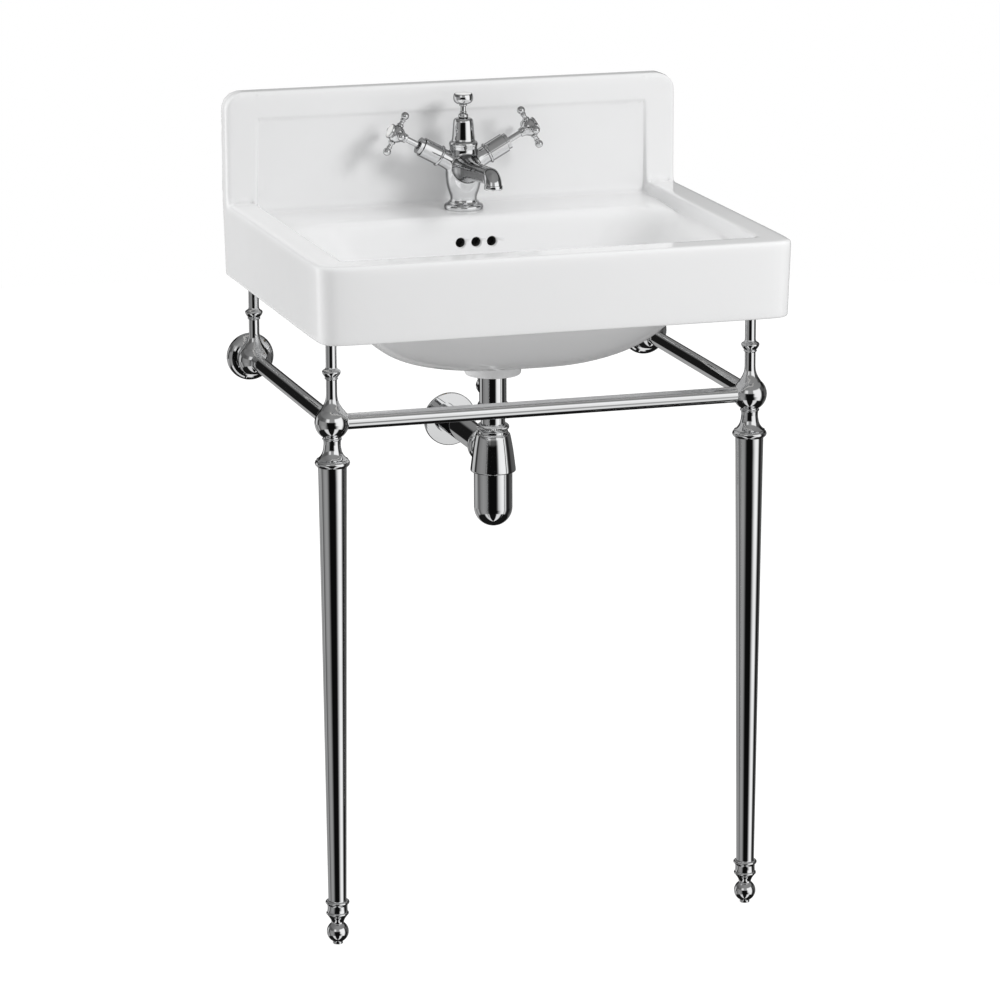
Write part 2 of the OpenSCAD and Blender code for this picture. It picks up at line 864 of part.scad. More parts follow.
module tap_body() {
    color("silver")
    difference() {
        union() {
            translate([0, tap_y, tap_z])
                tap_column();
            translate([0, tap_y, tap_z - shank_h])
                cylinder(d = shank_d, h = shank_h + over);
            for (side = [-1, 1])
                on_arm(side) {
                    cylinder(d = branch_d, h = branch_l);
                    translate([0, 0, branch_l - ring_h])
                        bead(shroud_d + 2 * ring_over, ring_h);
                }
            spout(false);
        }
        for (side = [-1, 1])
            on_arm(side)
                translate([0, 0, cartridge_z - gap])
                    cylinder(d = cartridge_d + 2 * fit, h = branch_l);
        spout(true);
        translate([-cartridge_z * cos(arm_tilt), tap_y + mix_y, arm_z + cartridge_z * sin(arm_tilt) / 2])
            along_x()
                cylinder(d = mix_bore_d, h = 2 * cartridge_z * cos(arm_tilt));
        for (side = [-1, 1])
            translate([side * inlet_x, tap_y + inlet_y, tap_z - shank_h - over]) {
                cylinder(d = inlet_d, h = inlet_socket_l + over);
                cylinder(d = inlet_bore_d, h = shank_h + arm_h + over);
            }
        translate([0, tap_y + stud_y, tap_z - shank_h - over])
            cylinder(d = stud_d + 2 * fit, h = stud_seat_h + over);
        translate([0, tap_y, tap_z - shank_h - over])
            cylinder(d = rod_d + 2 * fit, h = shank_h + body_h + 2 * over);
    }
}

module aerator() {
    color("gainsboro")
    translate([0, tap_y - spout_reach, outlet_z])
        difference() {
            cylinder(d = aerator_d, h = aerator_l);
            for (i = [0:aerator_holes - 1])
                rotate(360 * i / aerator_holes)
                    translate([aerator_ring_r, 0, -over])
                        cylinder(d = aerator_hole_d, h = aerator_l + 2 * over);
        }
}

module tap_gasket() {
    color("dimgray")
    translate([0, tap_y, deck_z])
        tube(tap_base_d - top_bevel, shank_d + 2 * gap, gasket_t);
}

// The tubular cover over a valve, with a groove and a stepped end
module shroud(side) {
    on_arm(side)
        translate([0, 0, branch_l])
            difference() {
                union() {
                    cylinder(d = shroud_d, h = shroud_l - shroud_step_l);
                    cylinder(d = shroud_step_d - 2 * shroud_groove, h = shroud_l);
                    translate([0, 0, shroud_l - shroud_step_l + shroud_groove])
                        cylinder(d = shroud_step_d, h = shroud_step_l - shroud_groove);
                }
                translate([0, 0, -over])
                    cylinder(d = shroud_step_d - 2 * shroud_groove - 2 * shroud_t,
                        h = shroud_l - shroud_t + over);
                cylinder(d = shroud_hole_d, h = shroud_l + over);
            }
}

module hot_shroud() {
    color("silver")
    shroud(-1);
}

module cold_shroud() {
    color("silver")
    shroud(1);
}

// A valve cartridge with the bore that its stem turns in
module cartridge(side) {
    l = branch_l - cartridge_z;
    on_arm(side)
        translate([0, 0, cartridge_z])
            difference() {
                union() {
                    cylinder(d = cartridge_d, h = l);
                    cylinder(d = cartridge_neck_d, h = l + cartridge_out);
                }
                translate([0, 0, cartridge_floor])
                    cylinder(d = spindle_d + 2 * fit, h = l + cartridge_out);
            }
}

module hot_cartridge() {
    color("darkgoldenrod")
    cartridge(-1);
}

module cold_cartridge() {
    color("darkgoldenrod")
    cartridge(1);
}

// A turning stem from inside the cartridge to the handle's hub
module spindle(side) {
    on_arm(side)
        translate([0, 0, spindle_in])
            cylinder(d = spindle_d, h = handle_l - spindle_in);
}

module hot_spindle() {
    color("silver")
    spindle(-1);
}

module cold_spindle() {
    color("silver")
    spindle(1);
}

// A cross handle: a turned hub with four arms and balls
module cross_handle(side) {
    on_arm(side)
        difference() {
            union() {
                translate([0, 0, handle_l])
                    sphere(d = hub_d);
                translate([0, 0, handle_l - hub_neck_l])
                    cylinder(d1 = hub_neck_d, d2 = hub_d - 2 * top_bevel, h = hub_neck_l - top_bevel);
                translate([0, 0, hub_face - hub_collar_l])
                    bead(hub_collar_d, hub_collar_l);
                for (quarter = [0:3])
                    rotate(90 * quarter)
                        translate([0, 0, handle_l]) {
                            along_x()
                                cylinder(d = handle_arm_d, h = handle_span / 2);
                            translate([handle_span / 2, 0, 0])
                                sphere(d = handle_ball_d);
                        }
            }
            translate([0, 0, handle_l - hub_neck_l - over])
                cylinder(d = spindle_d + 2 * fit, h = hub_neck_l + over);
            translate([0, 0, hub_face - index_seat])
                cylinder(d = index_d + 2 * fit, h = index_seat + over);
        }
}

module hot_handle() {
    color("silver")
    cross_handle(-1);
}

module cold_handle() {
    color("silver")
    cross_handle(1);
}

// A ceramic disc with a slightly domed face
module index(side) {
    on_arm(side)
        translate([0, 0, hub_face - index_seat]) {
            cylinder(d = index_d, h = index_seat);
            translate([0, 0, index_seat])
                cylinder(d1 = index_d, d2 = index_d - index_t, h = index_t - index_seat);
        }
}

module hot_index() {
    color("ivory")
    index(-1);
}

module cold_index() {
    color("ivory")
    index(1);
}

module centre_bell() {
    color("silver")
    translate([0, tap_y, bell_z])
        difference() {
            union() {
                bead(bell_ring_d, bell_ring_h);
                rotate_extrude()
                    polygon(concat(
                        [[0, 0], [bell_d / 2, 0]],
                        blend_points(bell_d / 2, bell_ring_h, bell_top_d / 2,
                            bell_ring_h + bell_h - bell_top_r, column_steps),
                        [for (a = [15:15:90])
                            [bell_top_d / 2 - bell_top_r * (1 - cos(a)),
                                bell_ring_h + bell_h - bell_top_r * (1 - sin(a))]],
                        [[0, bell_ring_h + bell_h]]
                    ));
            }
            translate([0, 0, -over])
                cylinder(d = bell_bore_d, h = bell_ring_h + bell_h - gland_foot + over);
            cylinder(d = gland_d - 2 * top_bevel + 2 * fit, h = bell_ring_h + bell_h + over);
        }
}

module bell_gland() {
    color("silver")
    translate([0, tap_y, gland_z])
        difference() {
            union() {
                bead(gland_d, gland_h);
                translate([0, 0, -gland_foot])
                    cylinder(d = gland_d - 2 * top_bevel, h = gland_foot + over);
            }
            translate([0, 0, -gland_foot - over])
                cylinder(d = rod_d + 2 * fit, h = gland_foot + gland_h + 2 * over);
        }
}

module waste_knob() {
    color("silver")
    translate([0, tap_y, knob_z])
        difference() {
            union() {
                cylinder(d = stem_d, h = stem_l + over);
                translate([0, 0, stem_l - knob_bead_h / 2])
                    bead(knob_bead_d, knob_bead_h);
                translate([0, 0, stem_l])
                    rotate_extrude()
                        polygon(concat(
                            [[0, 0]],
                            blend_points(stem_d / 2, 0, knob_d / 2, knob_cup_h - knob_cup_side_h,
                                column_steps),
                            [[knob_d / 2, knob_cup_h - top_bevel],
                                [knob_d / 2 - knob_rim_t / 2, knob_cup_h], [0, knob_cup_h]]
                        ));
            }
            translate([0, 0, stem_l + knob_cup_h - knob_seat])
                cylinder(d = knob_d - 2 * knob_rim_t + 2 * fit, h = knob_seat + over);
            translate([0, 0, -over])
                cylinder(d = rod_d + 2 * fit, h = stem_l + over);
        }
}

module knob_disc() {
    color("ivory")
    translate([0, tap_y, knob_z + stem_l + knob_cup_h - knob_seat]) {
        cylinder(d = knob_d - 2 * knob_rim_t, h = knob_seat);
        translate([0, 0, knob_seat])
            cylinder(d1 = knob_d - 2 * knob_rim_t, d2 = knob_d / 2, h = disc_t - knob_seat);
    }
}

module lift_rod() {
    color("silver")
    translate([0, tap_y, rod_foot_z])
        cylinder(d = rod_d, h = rod_top_z - rod_foot_z);
}

// A clamp block with a flat strap and a row of holes at its foot
module lift_strap() {
    color("silver")
    difference() {
        union() {
            translate([-block_w / 2, tap_y - block_d / 2, rod_foot_z])
                cube([block_w, block_d, block_h]);
            translate([-strap_w / 2, strap_y - strap_t / 2, rod_hole_z - strap_foot])
                cube([strap_w, strap_t, strap_top_z - rod_hole_z + strap_foot]);
        }
        translate([0, tap_y, rod_foot_z - over])
            cylinder(d = rod_d + 2 * fit, h = block_h + 2 * over);
        translate([rod_d / 2, tap_y, rod_foot_z + block_h / 2])
            along_x()
                cylinder(d = screw_d + 2 * fit, h = block_w);
        for (i = [0:strap_holes - 1])
            translate([0, strap_y - strap_t, rod_hole_z + i * strap_hole_pitch])
                along_y()
                    cylinder(d = strap_hole_d, h = 2 * strap_t);
    }
}

module strap_screw() {
    color("silver")
    translate([rod_d / 2 + fit, tap_y, rod_foot_z + block_h / 2])
        along_x() {
            cylinder(d = screw_d, h = block_w / 2 - rod_d / 2);
            translate([0, 0, block_w / 2 - rod_d / 2])
                cylinder(d = screw_head_d, h = screw_head_l);
        }
}

// Fixing under the deck
clamp_rubber_t = 3;
clamp_plate_t = 3;
clamp_d = 52;
clamp_mouth_w = 30;
clamp_back_y = 5;
fixing_nut_w = 10;
fixing_nut_h = 8;

// A horseshoe round the tap's shank, open to the front
module horseshoe(t) {
    difference() {
        cylinder(d = clamp_d, h = t);
        translate([-clamp_mouth_w / 2, clamp_back_y - clamp_d, -over])
            cube([clamp_mouth_w, clamp_d, t + 2 * over]);
        translate([0, stud_y, -over])
            cylinder(d = stud_d + 2 * fit, h = t + 2 * over);
    }
}

module fixing_stud() {
    color("gray")
    translate([0, tap_y + stud_y, tap_z - shank_h + stud_seat_h - gap - stud_l])
        cylinder(d = stud_d, h = stud_l);
}

module clamp_rubber() {
    color("dimgray")
    translate([0, tap_y, void_top_z - clamp_rubber_t])
        horseshoe(clamp_rubber_t);
}

module clamp_plate() {
    color("darkgoldenrod")
    translate([0, tap_y, void_top_z - clamp_rubber_t - clamp_plate_t])
        horseshoe(clamp_plate_t);
}

module fixing_nut() {
    color("darkgoldenrod")
    translate([0, tap_y + stud_y, void_top_z - clamp_rubber_t - clamp_plate_t - fixing_nut_h])
        difference() {
            cylinder(d = fixing_nut_w / cos(30), h = fixing_nut_h, $fn = 6);
            translate([0, 0, -over])
                cylinder(d = stud_d + 2 * fit, h = fixing_nut_h + 2 * over);
        }
}

// Waste

// Lays its children out of the tail's pivot port, along its slope
module on_port() {
    translate([0, pivot_y, pivot_z])
        rotate([port_a - 90, 0, 0])
            children();
}

module waste_body() {
    color("silver")
    difference() {
        union() {
            at_waste(waste_top_z - waste_flange_t)
                bead(waste_flange_d, waste_flange_t);
            at_waste(waste_shoulder_z)
                cylinder(d = waste_body_d, h = waste_top_z - waste_flange_t - waste_shoulder_z + over);
            at_waste(tail_z)
                cylinder(d = tail_d, h = waste_shoulder_z - tail_z + over);
            on_port()
                translate([0, 0, -pivot_arm + tail_d / 4])
                    cylinder(d = port_d, h = pivot_arm - tail_d / 4 + port_l);
        }
        at_waste(waste_shoulder_z + waste_floor_t)
            cylinder(d = waste_bore_d, h = waste_top_z - waste_shoulder_z - waste_floor_t + over);
        at_waste(tail_z - over)
            cylinder(d = tail_bore_d, h = waste_shoulder_z + waste_floor_t - tail_z + 2 * over);
        on_port()
            translate([0, 0, -pivot_arm])
                cylinder(d = port_bore_d, h = pivot_arm + port_l + over);
        at_waste(slot_z + slot_h / 2)
            cube([waste_flange_d, slot_w, slot_h], center = true);
    }
}

module upper_seal() {
    color("dimgray")
    at_waste(drain_z - waste_seat_h)
        tube(waste_flange_d - waste_flange_t, waste_body_d + 2 * fit, seal_t);
}

module lower_seal() {
    color("dimgray")
    at_waste(recess_z - lower_seal_t)
        tube(nut_d, waste_body_d + 2 * fit, lower_seal_t);
}

module back_nut() {
    color("darkgoldenrod")
    at_waste(max(waste_shoulder_z, recess_z - lower_seal_t - nut_h))
        tube(nut_d, waste_body_d + 2 * fit, min(nut_h, recess_z - lower_seal_t - waste_shoulder_z));
}

// The domed nut that holds the pivot ball in its port
module pivot_nut() {
    color("silver")
    on_port()
        difference() {
            union() {
                cylinder(d = pivot_nut_d, h = port_l + pivot_nut_back - pivot_nut_dome);
                translate([0, 0, port_l + pivot_nut_back - pivot_nut_dome])
                    cylinder(d1 = pivot_nut_d, d2 = pivot_nut_d - 3 * pivot_nut_dome, h = pivot_nut_dome);
            }
            translate([0, 0, -over])
                cylinder(d = port_d + 2 * fit, h = port_l + over);
            cylinder(d = pivot_hole_d, h = port_l + pivot_nut_back + over);
            at_tail_clear();
        }
}

// Keeps the nut off the tail
module at_tail_clear() {
    rotate([90 - port_a, 0, 0])
        translate([0, -pivot_arm, -port_l * pivot_nut_wall])
            cylinder(d = tail_d + 2 * gap, h = 2 * port_l * pivot_nut_wall);
}

// The rod and ball that carry the knob's travel to the plug
module pivot_rod() {
    color("silver")
    translate([0, pivot_y, pivot_z])
        rotate([rod_rest_a - 90, 0, 0]) {
            translate([0, 0, -pivot_arm / cos(rod_rest_a) - rod_in])
                cylinder(d = rod_d, h = (pivot_arm + strap_arm) / cos(rod_rest_a) + rod_in + rod_out);
            sphere(d = ball_pivot_d);
        }
}

module plug() {
    color("silver")
    at_waste(0)
        difference() {
            union() {
                translate([0, 0, plug_z]) {
                    cylinder(d = plug_d, h = plug_t - plug_dome);
                    translate([0, 0, plug_t - plug_dome])
                        cylinder(d1 = plug_d, d2 = plug_d - 5 * plug_dome, h = plug_dome);
                }
                translate([-plug_stem_w / 2, -plug_stem_t / 2, eye_z - plug_foot])
                    cube([plug_stem_w, plug_stem_t, plug_z - eye_z + plug_foot + over]);
            }
            translate([0, -plug_stem_t, eye_z])
                along_y()
                    cylinder(d = eye_d, h = 2 * plug_stem_t);
        }
}

module plug_seal() {
    color("dimgray")
    at_waste(plug_z - plug_seal_t)
        tube(plug_seal_d, plug_seal_hole, plug_seal_t);
}

// Trap

module tail_collar() {
    color("silver")
    at_waste(tail_z - collar_h)
        difference() {
            bead(collar_d, collar_h);
            translate([0, 0, -over])
                cylinder(d = inlet_pipe_d + 2 * fit, h = collar_h + 2 * over);
        }
}

module tailpipe() {
    color("silver")
    at_waste(skirt_top_z)
        tube(inlet_pipe_d, inlet_pipe_d - 2 * pipe_t, tail_z + pipe_in - skirt_top_z);
}

// The grip nut with a bead on top that closes the trap's inlet
module trap_inlet_nut() {
    color("silver")
    at_waste(skirt_top_z + fit)
        difference() {
            union() {
                cylinder(d = inlet_nut_d, h = inlet_nut_h + inlet_bead_h / 2);
                translate([0, 0, inlet_nut_h])
                    bead(inlet_bead_d, inlet_bead_h);
            }
            translate([0, 0, -over])
                cylinder(d = inlet_spigot_d + 2 * fit, h = inlet_spigot_h + inlet_seal_t + over);
            cylinder(d = inlet_pipe_d + 2 * fit, h = inlet_nut_h + inlet_bead_h + over);
        }
}

module inlet_seal() {
    color("dimgray")
    at_waste(skirt_top_z + inlet_spigot_h)
        tube(inlet_spigot_d, inlet_pipe_d + 2 * fit, inlet_seal_t);
}

// The trap's head: a skirt, an inlet spigot, a dip tube and an outlet port
module trap_body() {
    cone_h = skirt_top_z - skirt_z - skirt_band_h;
    color("silver") {
        difference() {
            union() {
                at_waste(skirt_z) {
                    cylinder(d = skirt_d, h = skirt_band_h);
                    translate([0, 0, skirt_band_h])
                        cylinder(d1 = skirt_d, d2 = skirt_top_d, h = cone_h);
                }
                at_waste(skirt_top_z - over)
                    cylinder(d = inlet_spigot_d, h = inlet_spigot_h + over);
                translate([0, waste_y, outlet_z0])
                    along_y()
                        cylinder(d = outlet_port_d, h = outlet_port_l);
            }
            at_waste(skirt_z - over)
                cylinder(d = bottle_d + 2 * fit, h = bottle_in + over);
            at_waste(skirt_z + bottle_in - over)
                cylinder(d1 = bottle_d - 2 * skirt_t, d2 = skirt_top_d - 2 * skirt_t,
                    h = skirt_top_z - skirt_z - bottle_in + over - skirt_t);
            at_waste(skirt_top_z - skirt_t - over)
                cylinder(d = dip_d - 2 * pipe_t, h = skirt_t + 2 * over);
            at_waste(skirt_top_z)
                cylinder(d = inlet_pipe_d + 2 * fit, h = inlet_spigot_h + over);
            translate([0, waste_y + dip_d / 2, outlet_z0])
                along_y()
                    cylinder(d = outlet_d - 2 * port_lip, h = outlet_port_l);
            translate([0, waste_y + outlet_port_l - arm_in, outlet_z0])
                along_y()
                    cylinder(d = outlet_d + 2 * fit, h = arm_in + over);
        }
        at_waste(dip_z)
            tube(dip_d, dip_d - 2 * pipe_t, skirt_top_z - skirt_t / 2 - dip_z);
    }
}

module trap_bottle() {
    color("silver")
    at_waste(bottle_z) {
        l = skirt_z + bottle_in - bottle_lip - bottle_z;
        difference() {
            union() {
                translate([0, 0, bottle_d / 2])
                    cylinder(d = bottle_d, h = l - bottle_d / 2);
                translate([0, 0, bottle_d / 2])
                    sphere(d = bottle_d);
            }
            translate([0, 0, bottle_d / 2])
                sphere(d = bottle_d - 2 * bottle_t);
            translate([0, 0, bottle_d / 2])
                cylinder(d = bottle_d - 2 * bottle_t, h = l);
        }
    }
}

module bottle_seal() {
    color("dimgray")
    at_waste(skirt_z + bottle_in - bottle_lip)
        tube(bottle_d - 2 * fit, bottle_d - 2 * bottle_t, bottle_lip);
}

module outlet_nut() {
    color("silver")
    translate([0, waste_y + outlet_port_l - outlet_nut_l + outlet_nut_wall, outlet_z0])
        along_y()
            difference() {
                bead(outlet_nut_d, outlet_nut_l);
                translate([0, 0, -over])
                    cylinder(d = outlet_port_d + 2 * fit, h = outlet_nut_l - outlet_nut_wall + over);
                cylinder(d = outlet_d + 2 * fit, h = outlet_nut_l + over);
            }
}

module outlet_arm() {
    color("silver")
    translate([0, waste_y + outlet_port_l - arm_in + gap, outlet_z0])
        along_y()
            tube(outlet_d, outlet_d - 2 * pipe_t, wall_y - waste_y - outlet_port_l + arm_in - gap);
}

module outlet_flange() {
    color("silver")
    translate([0, wall_y, outlet_z0])
        rotate([90, 0, 0])
            difference() {
                union() {
                    cylinder(d = flange_d, h = flange_t - flange_edge);
                    translate([0, 0, flange_t - flange_edge])
                        cylinder(d1 = flange_d, d2 = flange_d - 2 * flange_edge, h = flange_edge);
                    cylinder(d = hub_flange_d, h = hub_flange_h);
                }
                translate([0, 0, -over])
                    cylinder(d = outlet_d + 2 * fit, h = hub_flange_h + 2 * over);
            }
}

// Stand

module leg(side) {
    translate([side * stand_x, legs_y, leg_z])
        difference() {
            cylinder(d1 = leg_foot_d, d2 = leg_d, h = ring_z - ring_h2 / 2 - leg_z);
            translate([0, 0, -over])
                cylinder(d1 = leg_foot_d - 2 * tube_t, d2 = leg_d - 2 * tube_t,
                    h = ring_z - ring_h2 / 2 - leg_z + 2 * over);
        }
}

module left_leg() {
    color("silver")
    leg(-1);
}

module right_leg() {
    color("silver")
    leg(1);
}

// Radius of the leg's bore at a height above the leg's foot
function leg_bore_r(z) = (leg_foot_d + (leg_d - leg_foot_d) * z / (ring_z - ring_h2 / 2 - leg_z)) / 2
    - tube_t;

// The turned head on a leg: spigot, ring, waisted neck and stud
module leg_head(side) {
    spigot_z = ring_z - ring_h2 / 2 - spigot_l;
    translate([side * stand_x, legs_y, 0]) {
        translate([0, 0, spigot_z])
            cylinder(r = leg_bore_r(spigot_z - leg_z) - fit, h = spigot_l + over);
        translate([0, 0, ring_z - ring_h2 / 2])
            bead(ring_d, ring_h2);
        translate([0, 0, ring_z + ring_h2 / 2 - over])
            rotate_extrude()
                polygon(concat(
                    [[0, 0], [neck_foot_d / 2, 0]],
                    blend_points(neck_foot_d / 2, over + neck_lip, neck_min_d / 2,
                        (head_top_z - ring_z) * neck_min_share, column_steps),
                    blend_points(neck_min_d / 2, (head_top_z - ring_z) * neck_min_share + neck_lip,
                        neck_top_d / 2, head_top_z - ring_z - ring_h2 / 2 - neck_lip + over, column_steps),
                    [[neck_top_d / 2, head_top_z - ring_z - ring_h2 / 2 + over],
                        [0, head_top_z - ring_z - ring_h2 / 2 + over]]
                ));
        translate([0, 0, head_top_z])
            cylinder(d = stud_hole_d - 2 * fit, h = head_stud_l);
    }
}

module left_leg_head() {
    color("silver")
    leg_head(-1);
}

module right_leg_head() {
    color("silver")
    leg_head(1);
}

// A ball with flats above and below, a stud hole through it and sockets for rails
module joint_ball(side, front) {
    difference() {
        sphere(d = ball_d);
        translate([-ball_d, -ball_d, head_top_z - rail_z - ball_d])
            cube([2 * ball_d, 2 * ball_d, ball_d]);
        translate([-ball_d, -ball_d, cone_z - rail_z])
            cube([2 * ball_d, 2 * ball_d, ball_d]);
        translate([0, 0, -ball_d])
            cylinder(d = stud_hole_d, h = 2 * ball_d);
        rotate([front ? -90 : 90, 0, 0])
            translate([0, 0, rail_end])
                cylinder(d = rail_d + 2 * fit, h = ball_d);
        if (front)
            rotate([0, -side * 90, 0])
                translate([0, 0, rail_end])
                    cylinder(d = rail_d + 2 * fit, h = ball_d);
        if (!front)
            rotate([-90, 0, 0])
                translate([0, 0, rear_gap - plate_t - plate_stud_l - gap])
                    cylinder(d = stud_hole_d, h = ball_d);
    }
}

module front_balls() {
    color("silver")
    for (side = [-1, 1])
        translate([side * stand_x, legs_y, rail_z])
            joint_ball(side, true);
}

module rear_balls() {
    color("silver")
    for (side = [-1, 1])
        translate([side * stand_x, rear_y, rail_z])
            joint_ball(side, false);
}

// A spindle: stud, coned foot, rod and knop, up to the rubber buffer
module post() {
    translate([0, 0, cone_z - head_stud_l])
        cylinder(d = stud_hole_d - 2 * fit, h = head_stud_l + over);
    translate([0, 0, cone_z])
        rotate_extrude()
            polygon(concat(
                [[0, 0], [cone_foot_d / 2, 0]],
                [[cone_foot_d / 2, cone_lip], [cone_foot_d / 2 - cone_lip / 2, cone_lip]],
                [for (i = [1:column_steps])
                    let (s = i / column_steps)
                    [post_d / 2 + (cone_foot_d / 2 - cone_lip / 2 - post_d / 2) * pow(1 - s, 2),
                        cone_lip + cone_h * s]],
                [[0, cone_lip + cone_h]]
            ));
    translate([0, 0, cone_z + cone_lip])
        cylinder(d = post_d, h = buffer_z - cone_z - cone_lip);
    translate([0, 0, rail_z + knop_rise - step_drop])
        bead(step_ring_d, step_ring_h);
    translate([0, 0, rail_z + knop_rise - knop_h / 2])
        round_disc(knop_d, knop_h, knop_edge_r);
}

module front_spindles() {
    color("silver")
    for (side = [-1, 1])
        translate([side * stand_x, legs_y, 0])
            post();
}

module rear_spindles() {
    color("silver")
    for (side = [-1, 1])
        translate([side * stand_x, rear_y, 0])
            post();
}

module support_buffers() {
    color("dimgray")
    for (side = [-1, 1])
        for (y = [legs_y, rear_y])
            translate([side * stand_x, y, buffer_z - buffer_skirt])
                difference() {
                    cylinder(d = buffer_d, h = buffer_skirt + buffer_t);
                    translate([0, 0, -over])
                        cylinder(d = post_d + 2 * fit, h = buffer_skirt + over);
                }
}

module front_rail() {
    l = 2 * (stand_x - rail_end - gap);
    color("silver")
    translate([-l / 2, legs_y, rail_z])
        along_x()
            tube(rail_d, rail_d - 2 * tube_t, l);
}

// A side rail between a front ball and a rear ball
module side_rail(side) {
    translate([side * stand_x, legs_y + rail_end + gap, rail_z])
        along_y()
            tube(rail_d, rail_d - 2 * tube_t, rear_y - legs_y - 2 * (rail_end + gap));
}

module left_rail() {
    color("silver")
    side_rail(-1);
}

module right_rail() {
    color("silver")
    side_rail(1);
}

module wall_rosettes() {
    color("silver")
    for (side = [-1, 1])
        translate([side * stand_x, wall_y, rail_z])
            difference() {
                rotate([90, 0, 0])
                    rotate_extrude()
                        polygon(concat(
                            [[0, 0], [rosette_d / 2, 0]],
                            [for (i = [0:column_steps])
                                let (a = 90 * i / column_steps)
                                [rosette_nose_d / 2 + (rosette_d / 2 - rosette_nose_d / 2) * cos(a),
                                    rosette_edge + (rosette_h - rosette_edge) * sin(a)]],
                            [[0, rosette_h]]
                        ));
                translate([0, over, 0])
                    rotate([90, 0, 0])
                        cylinder(d = plate_d + 2 * gap, h = plate_t + rosette_t + over);
                translate([0, -rear_gap, 0])
                    sphere(d = ball_d + 2 * gap);
            }
}

module wall_plates() {
    color("gray")
    for (side = [-1, 1])
        translate([side * stand_x, wall_y, rail_z])
            rotate([90, 0, 0])
                difference() {
                    union() {
                        cylinder(d = plate_d, h = plate_t);
                        cylinder(d = stud_hole_d - 2 * fit, h = plate_t + plate_stud_l);
                    }
                    for (s = [-1, 1])
                        translate([s * plate_hole_pitch / 2, 0, -over])
                            cylinder(d = plate_hole_d, h = plate_t + 2 * over);
                }
}

// Feet

module foot_collars() {
    color("silver")
    for (side = [-1, 1])
        translate([side * stand_x, legs_y, foot_collar_z])
            difference() {
                union() {
                    cylinder(d = foot_collar_d, h = foot_collar_l);
                    bead(collar_ring2_d, collar_ring_h);
                    translate([0, 0, foot_collar_l - collar_ring_h])
                        bead(collar_ring_d, collar_ring_h);
                    cylinder(r = leg_bore_r(0) - fit, h = foot_collar_l + spigot_l / 2);
                }
                translate([0, 0, -over])
                    cylinder(d = foot_stud_d + 2 * fit, h = foot_collar_l + spigot_l + over);
            }
}

// A levelling foot: threaded stud, flared neck, ball and pad
module level_foot(side) {
    neck_z = foot_ball_z + foot_ball_d / 2 - foot_pad_h;
    translate([side * stand_x, legs_y, 0]) {
        translate([0, 0, foot_ball_z])
            sphere(d = foot_ball_d);
        cylinder(d = foot_pad_d, h = foot_ball_z);
        translate([0, 0, foot_ball_z])
            cylinder(d = foot_neck_d, h = neck_z - foot_ball_z + foot_pad_h);
        translate([0, 0, neck_z])
            rotate_extrude()
                polygon(concat(
                    [[0, 0]],
                    blend_points(foot_neck_d / 2, 0, foot_collar_d / 2 - top_bevel,
                        foot_top_z - neck_z - top_bevel, column_steps),
                    [[foot_collar_d / 2 - top_bevel, foot_top_z - neck_z], [0, foot_top_z - neck_z]]
                ));
        translate([0, 0, foot_top_z - over])
            cylinder(d = foot_stud_d, h = foot_stud_l + over);
    }
}

module left_foot() {
    color("silver")
    level_foot(-1);
}

module right_foot() {
    color("silver")
    level_foot(1);
}

basin();
tap_body();
aerator();
tap_gasket();
hot_shroud();
cold_shroud();
hot_cartridge();
cold_cartridge();
hot_spindle();
cold_spindle();
hot_handle();
cold_handle();
hot_index();
cold_index();
centre_bell();
bell_gland();
waste_knob();
knob_disc();
lift_rod();
lift_strap();
strap_screw();
fixing_stud();
clamp_rubber();
clamp_plate();
fixing_nut();
waste_body();
upper_seal();
lower_seal();
back_nut();
pivot_nut();
pivot_rod();
plug();
plug_seal();
tail_collar();
tailpipe();
trap_inlet_nut();
inlet_seal();
trap_body();
trap_bottle();
bottle_seal();
outlet_nut();
outlet_arm();
outlet_flange();
left_leg();
right_leg();
left_leg_head();
right_leg_head();
front_balls();
rear_balls();
front_spindles();
rear_spindles();
support_buffers();
front_rail();
left_rail();
right_rail();
wall_rosettes();
wall_plates();
foot_collars();
left_foot();
right_foot();
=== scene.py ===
import math
import bmesh
import bpy
from mathutils import Matrix, Vector


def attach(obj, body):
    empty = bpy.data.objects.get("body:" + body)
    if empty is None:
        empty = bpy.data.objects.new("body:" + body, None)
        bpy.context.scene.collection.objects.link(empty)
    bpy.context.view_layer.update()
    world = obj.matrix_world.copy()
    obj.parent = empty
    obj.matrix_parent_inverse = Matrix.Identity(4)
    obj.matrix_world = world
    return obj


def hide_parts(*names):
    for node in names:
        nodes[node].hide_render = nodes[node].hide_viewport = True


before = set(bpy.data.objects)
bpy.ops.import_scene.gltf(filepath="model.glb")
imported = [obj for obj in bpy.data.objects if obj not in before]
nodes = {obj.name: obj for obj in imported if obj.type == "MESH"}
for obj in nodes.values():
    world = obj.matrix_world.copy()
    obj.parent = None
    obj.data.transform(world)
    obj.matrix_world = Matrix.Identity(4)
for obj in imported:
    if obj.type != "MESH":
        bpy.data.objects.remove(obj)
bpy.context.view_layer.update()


# Camera
# A long lens that looks slightly down on the basin from its front left, as the photograph was taken.
# Every size below is in millimetres until a finished mesh is scaled to metres; the lamps' are in metres.
MM = 0.001
FILM_W = 36
VIEW_LENS = 166.6
VIEW_REACH = 60000
VIEW_PLACE = (-1604.25, -5246.7, 1822.56)
VIEW_TURN = -0.2958157
VIEW_DIP = 0.2383754
VIEW_ROLL = -0.0028034

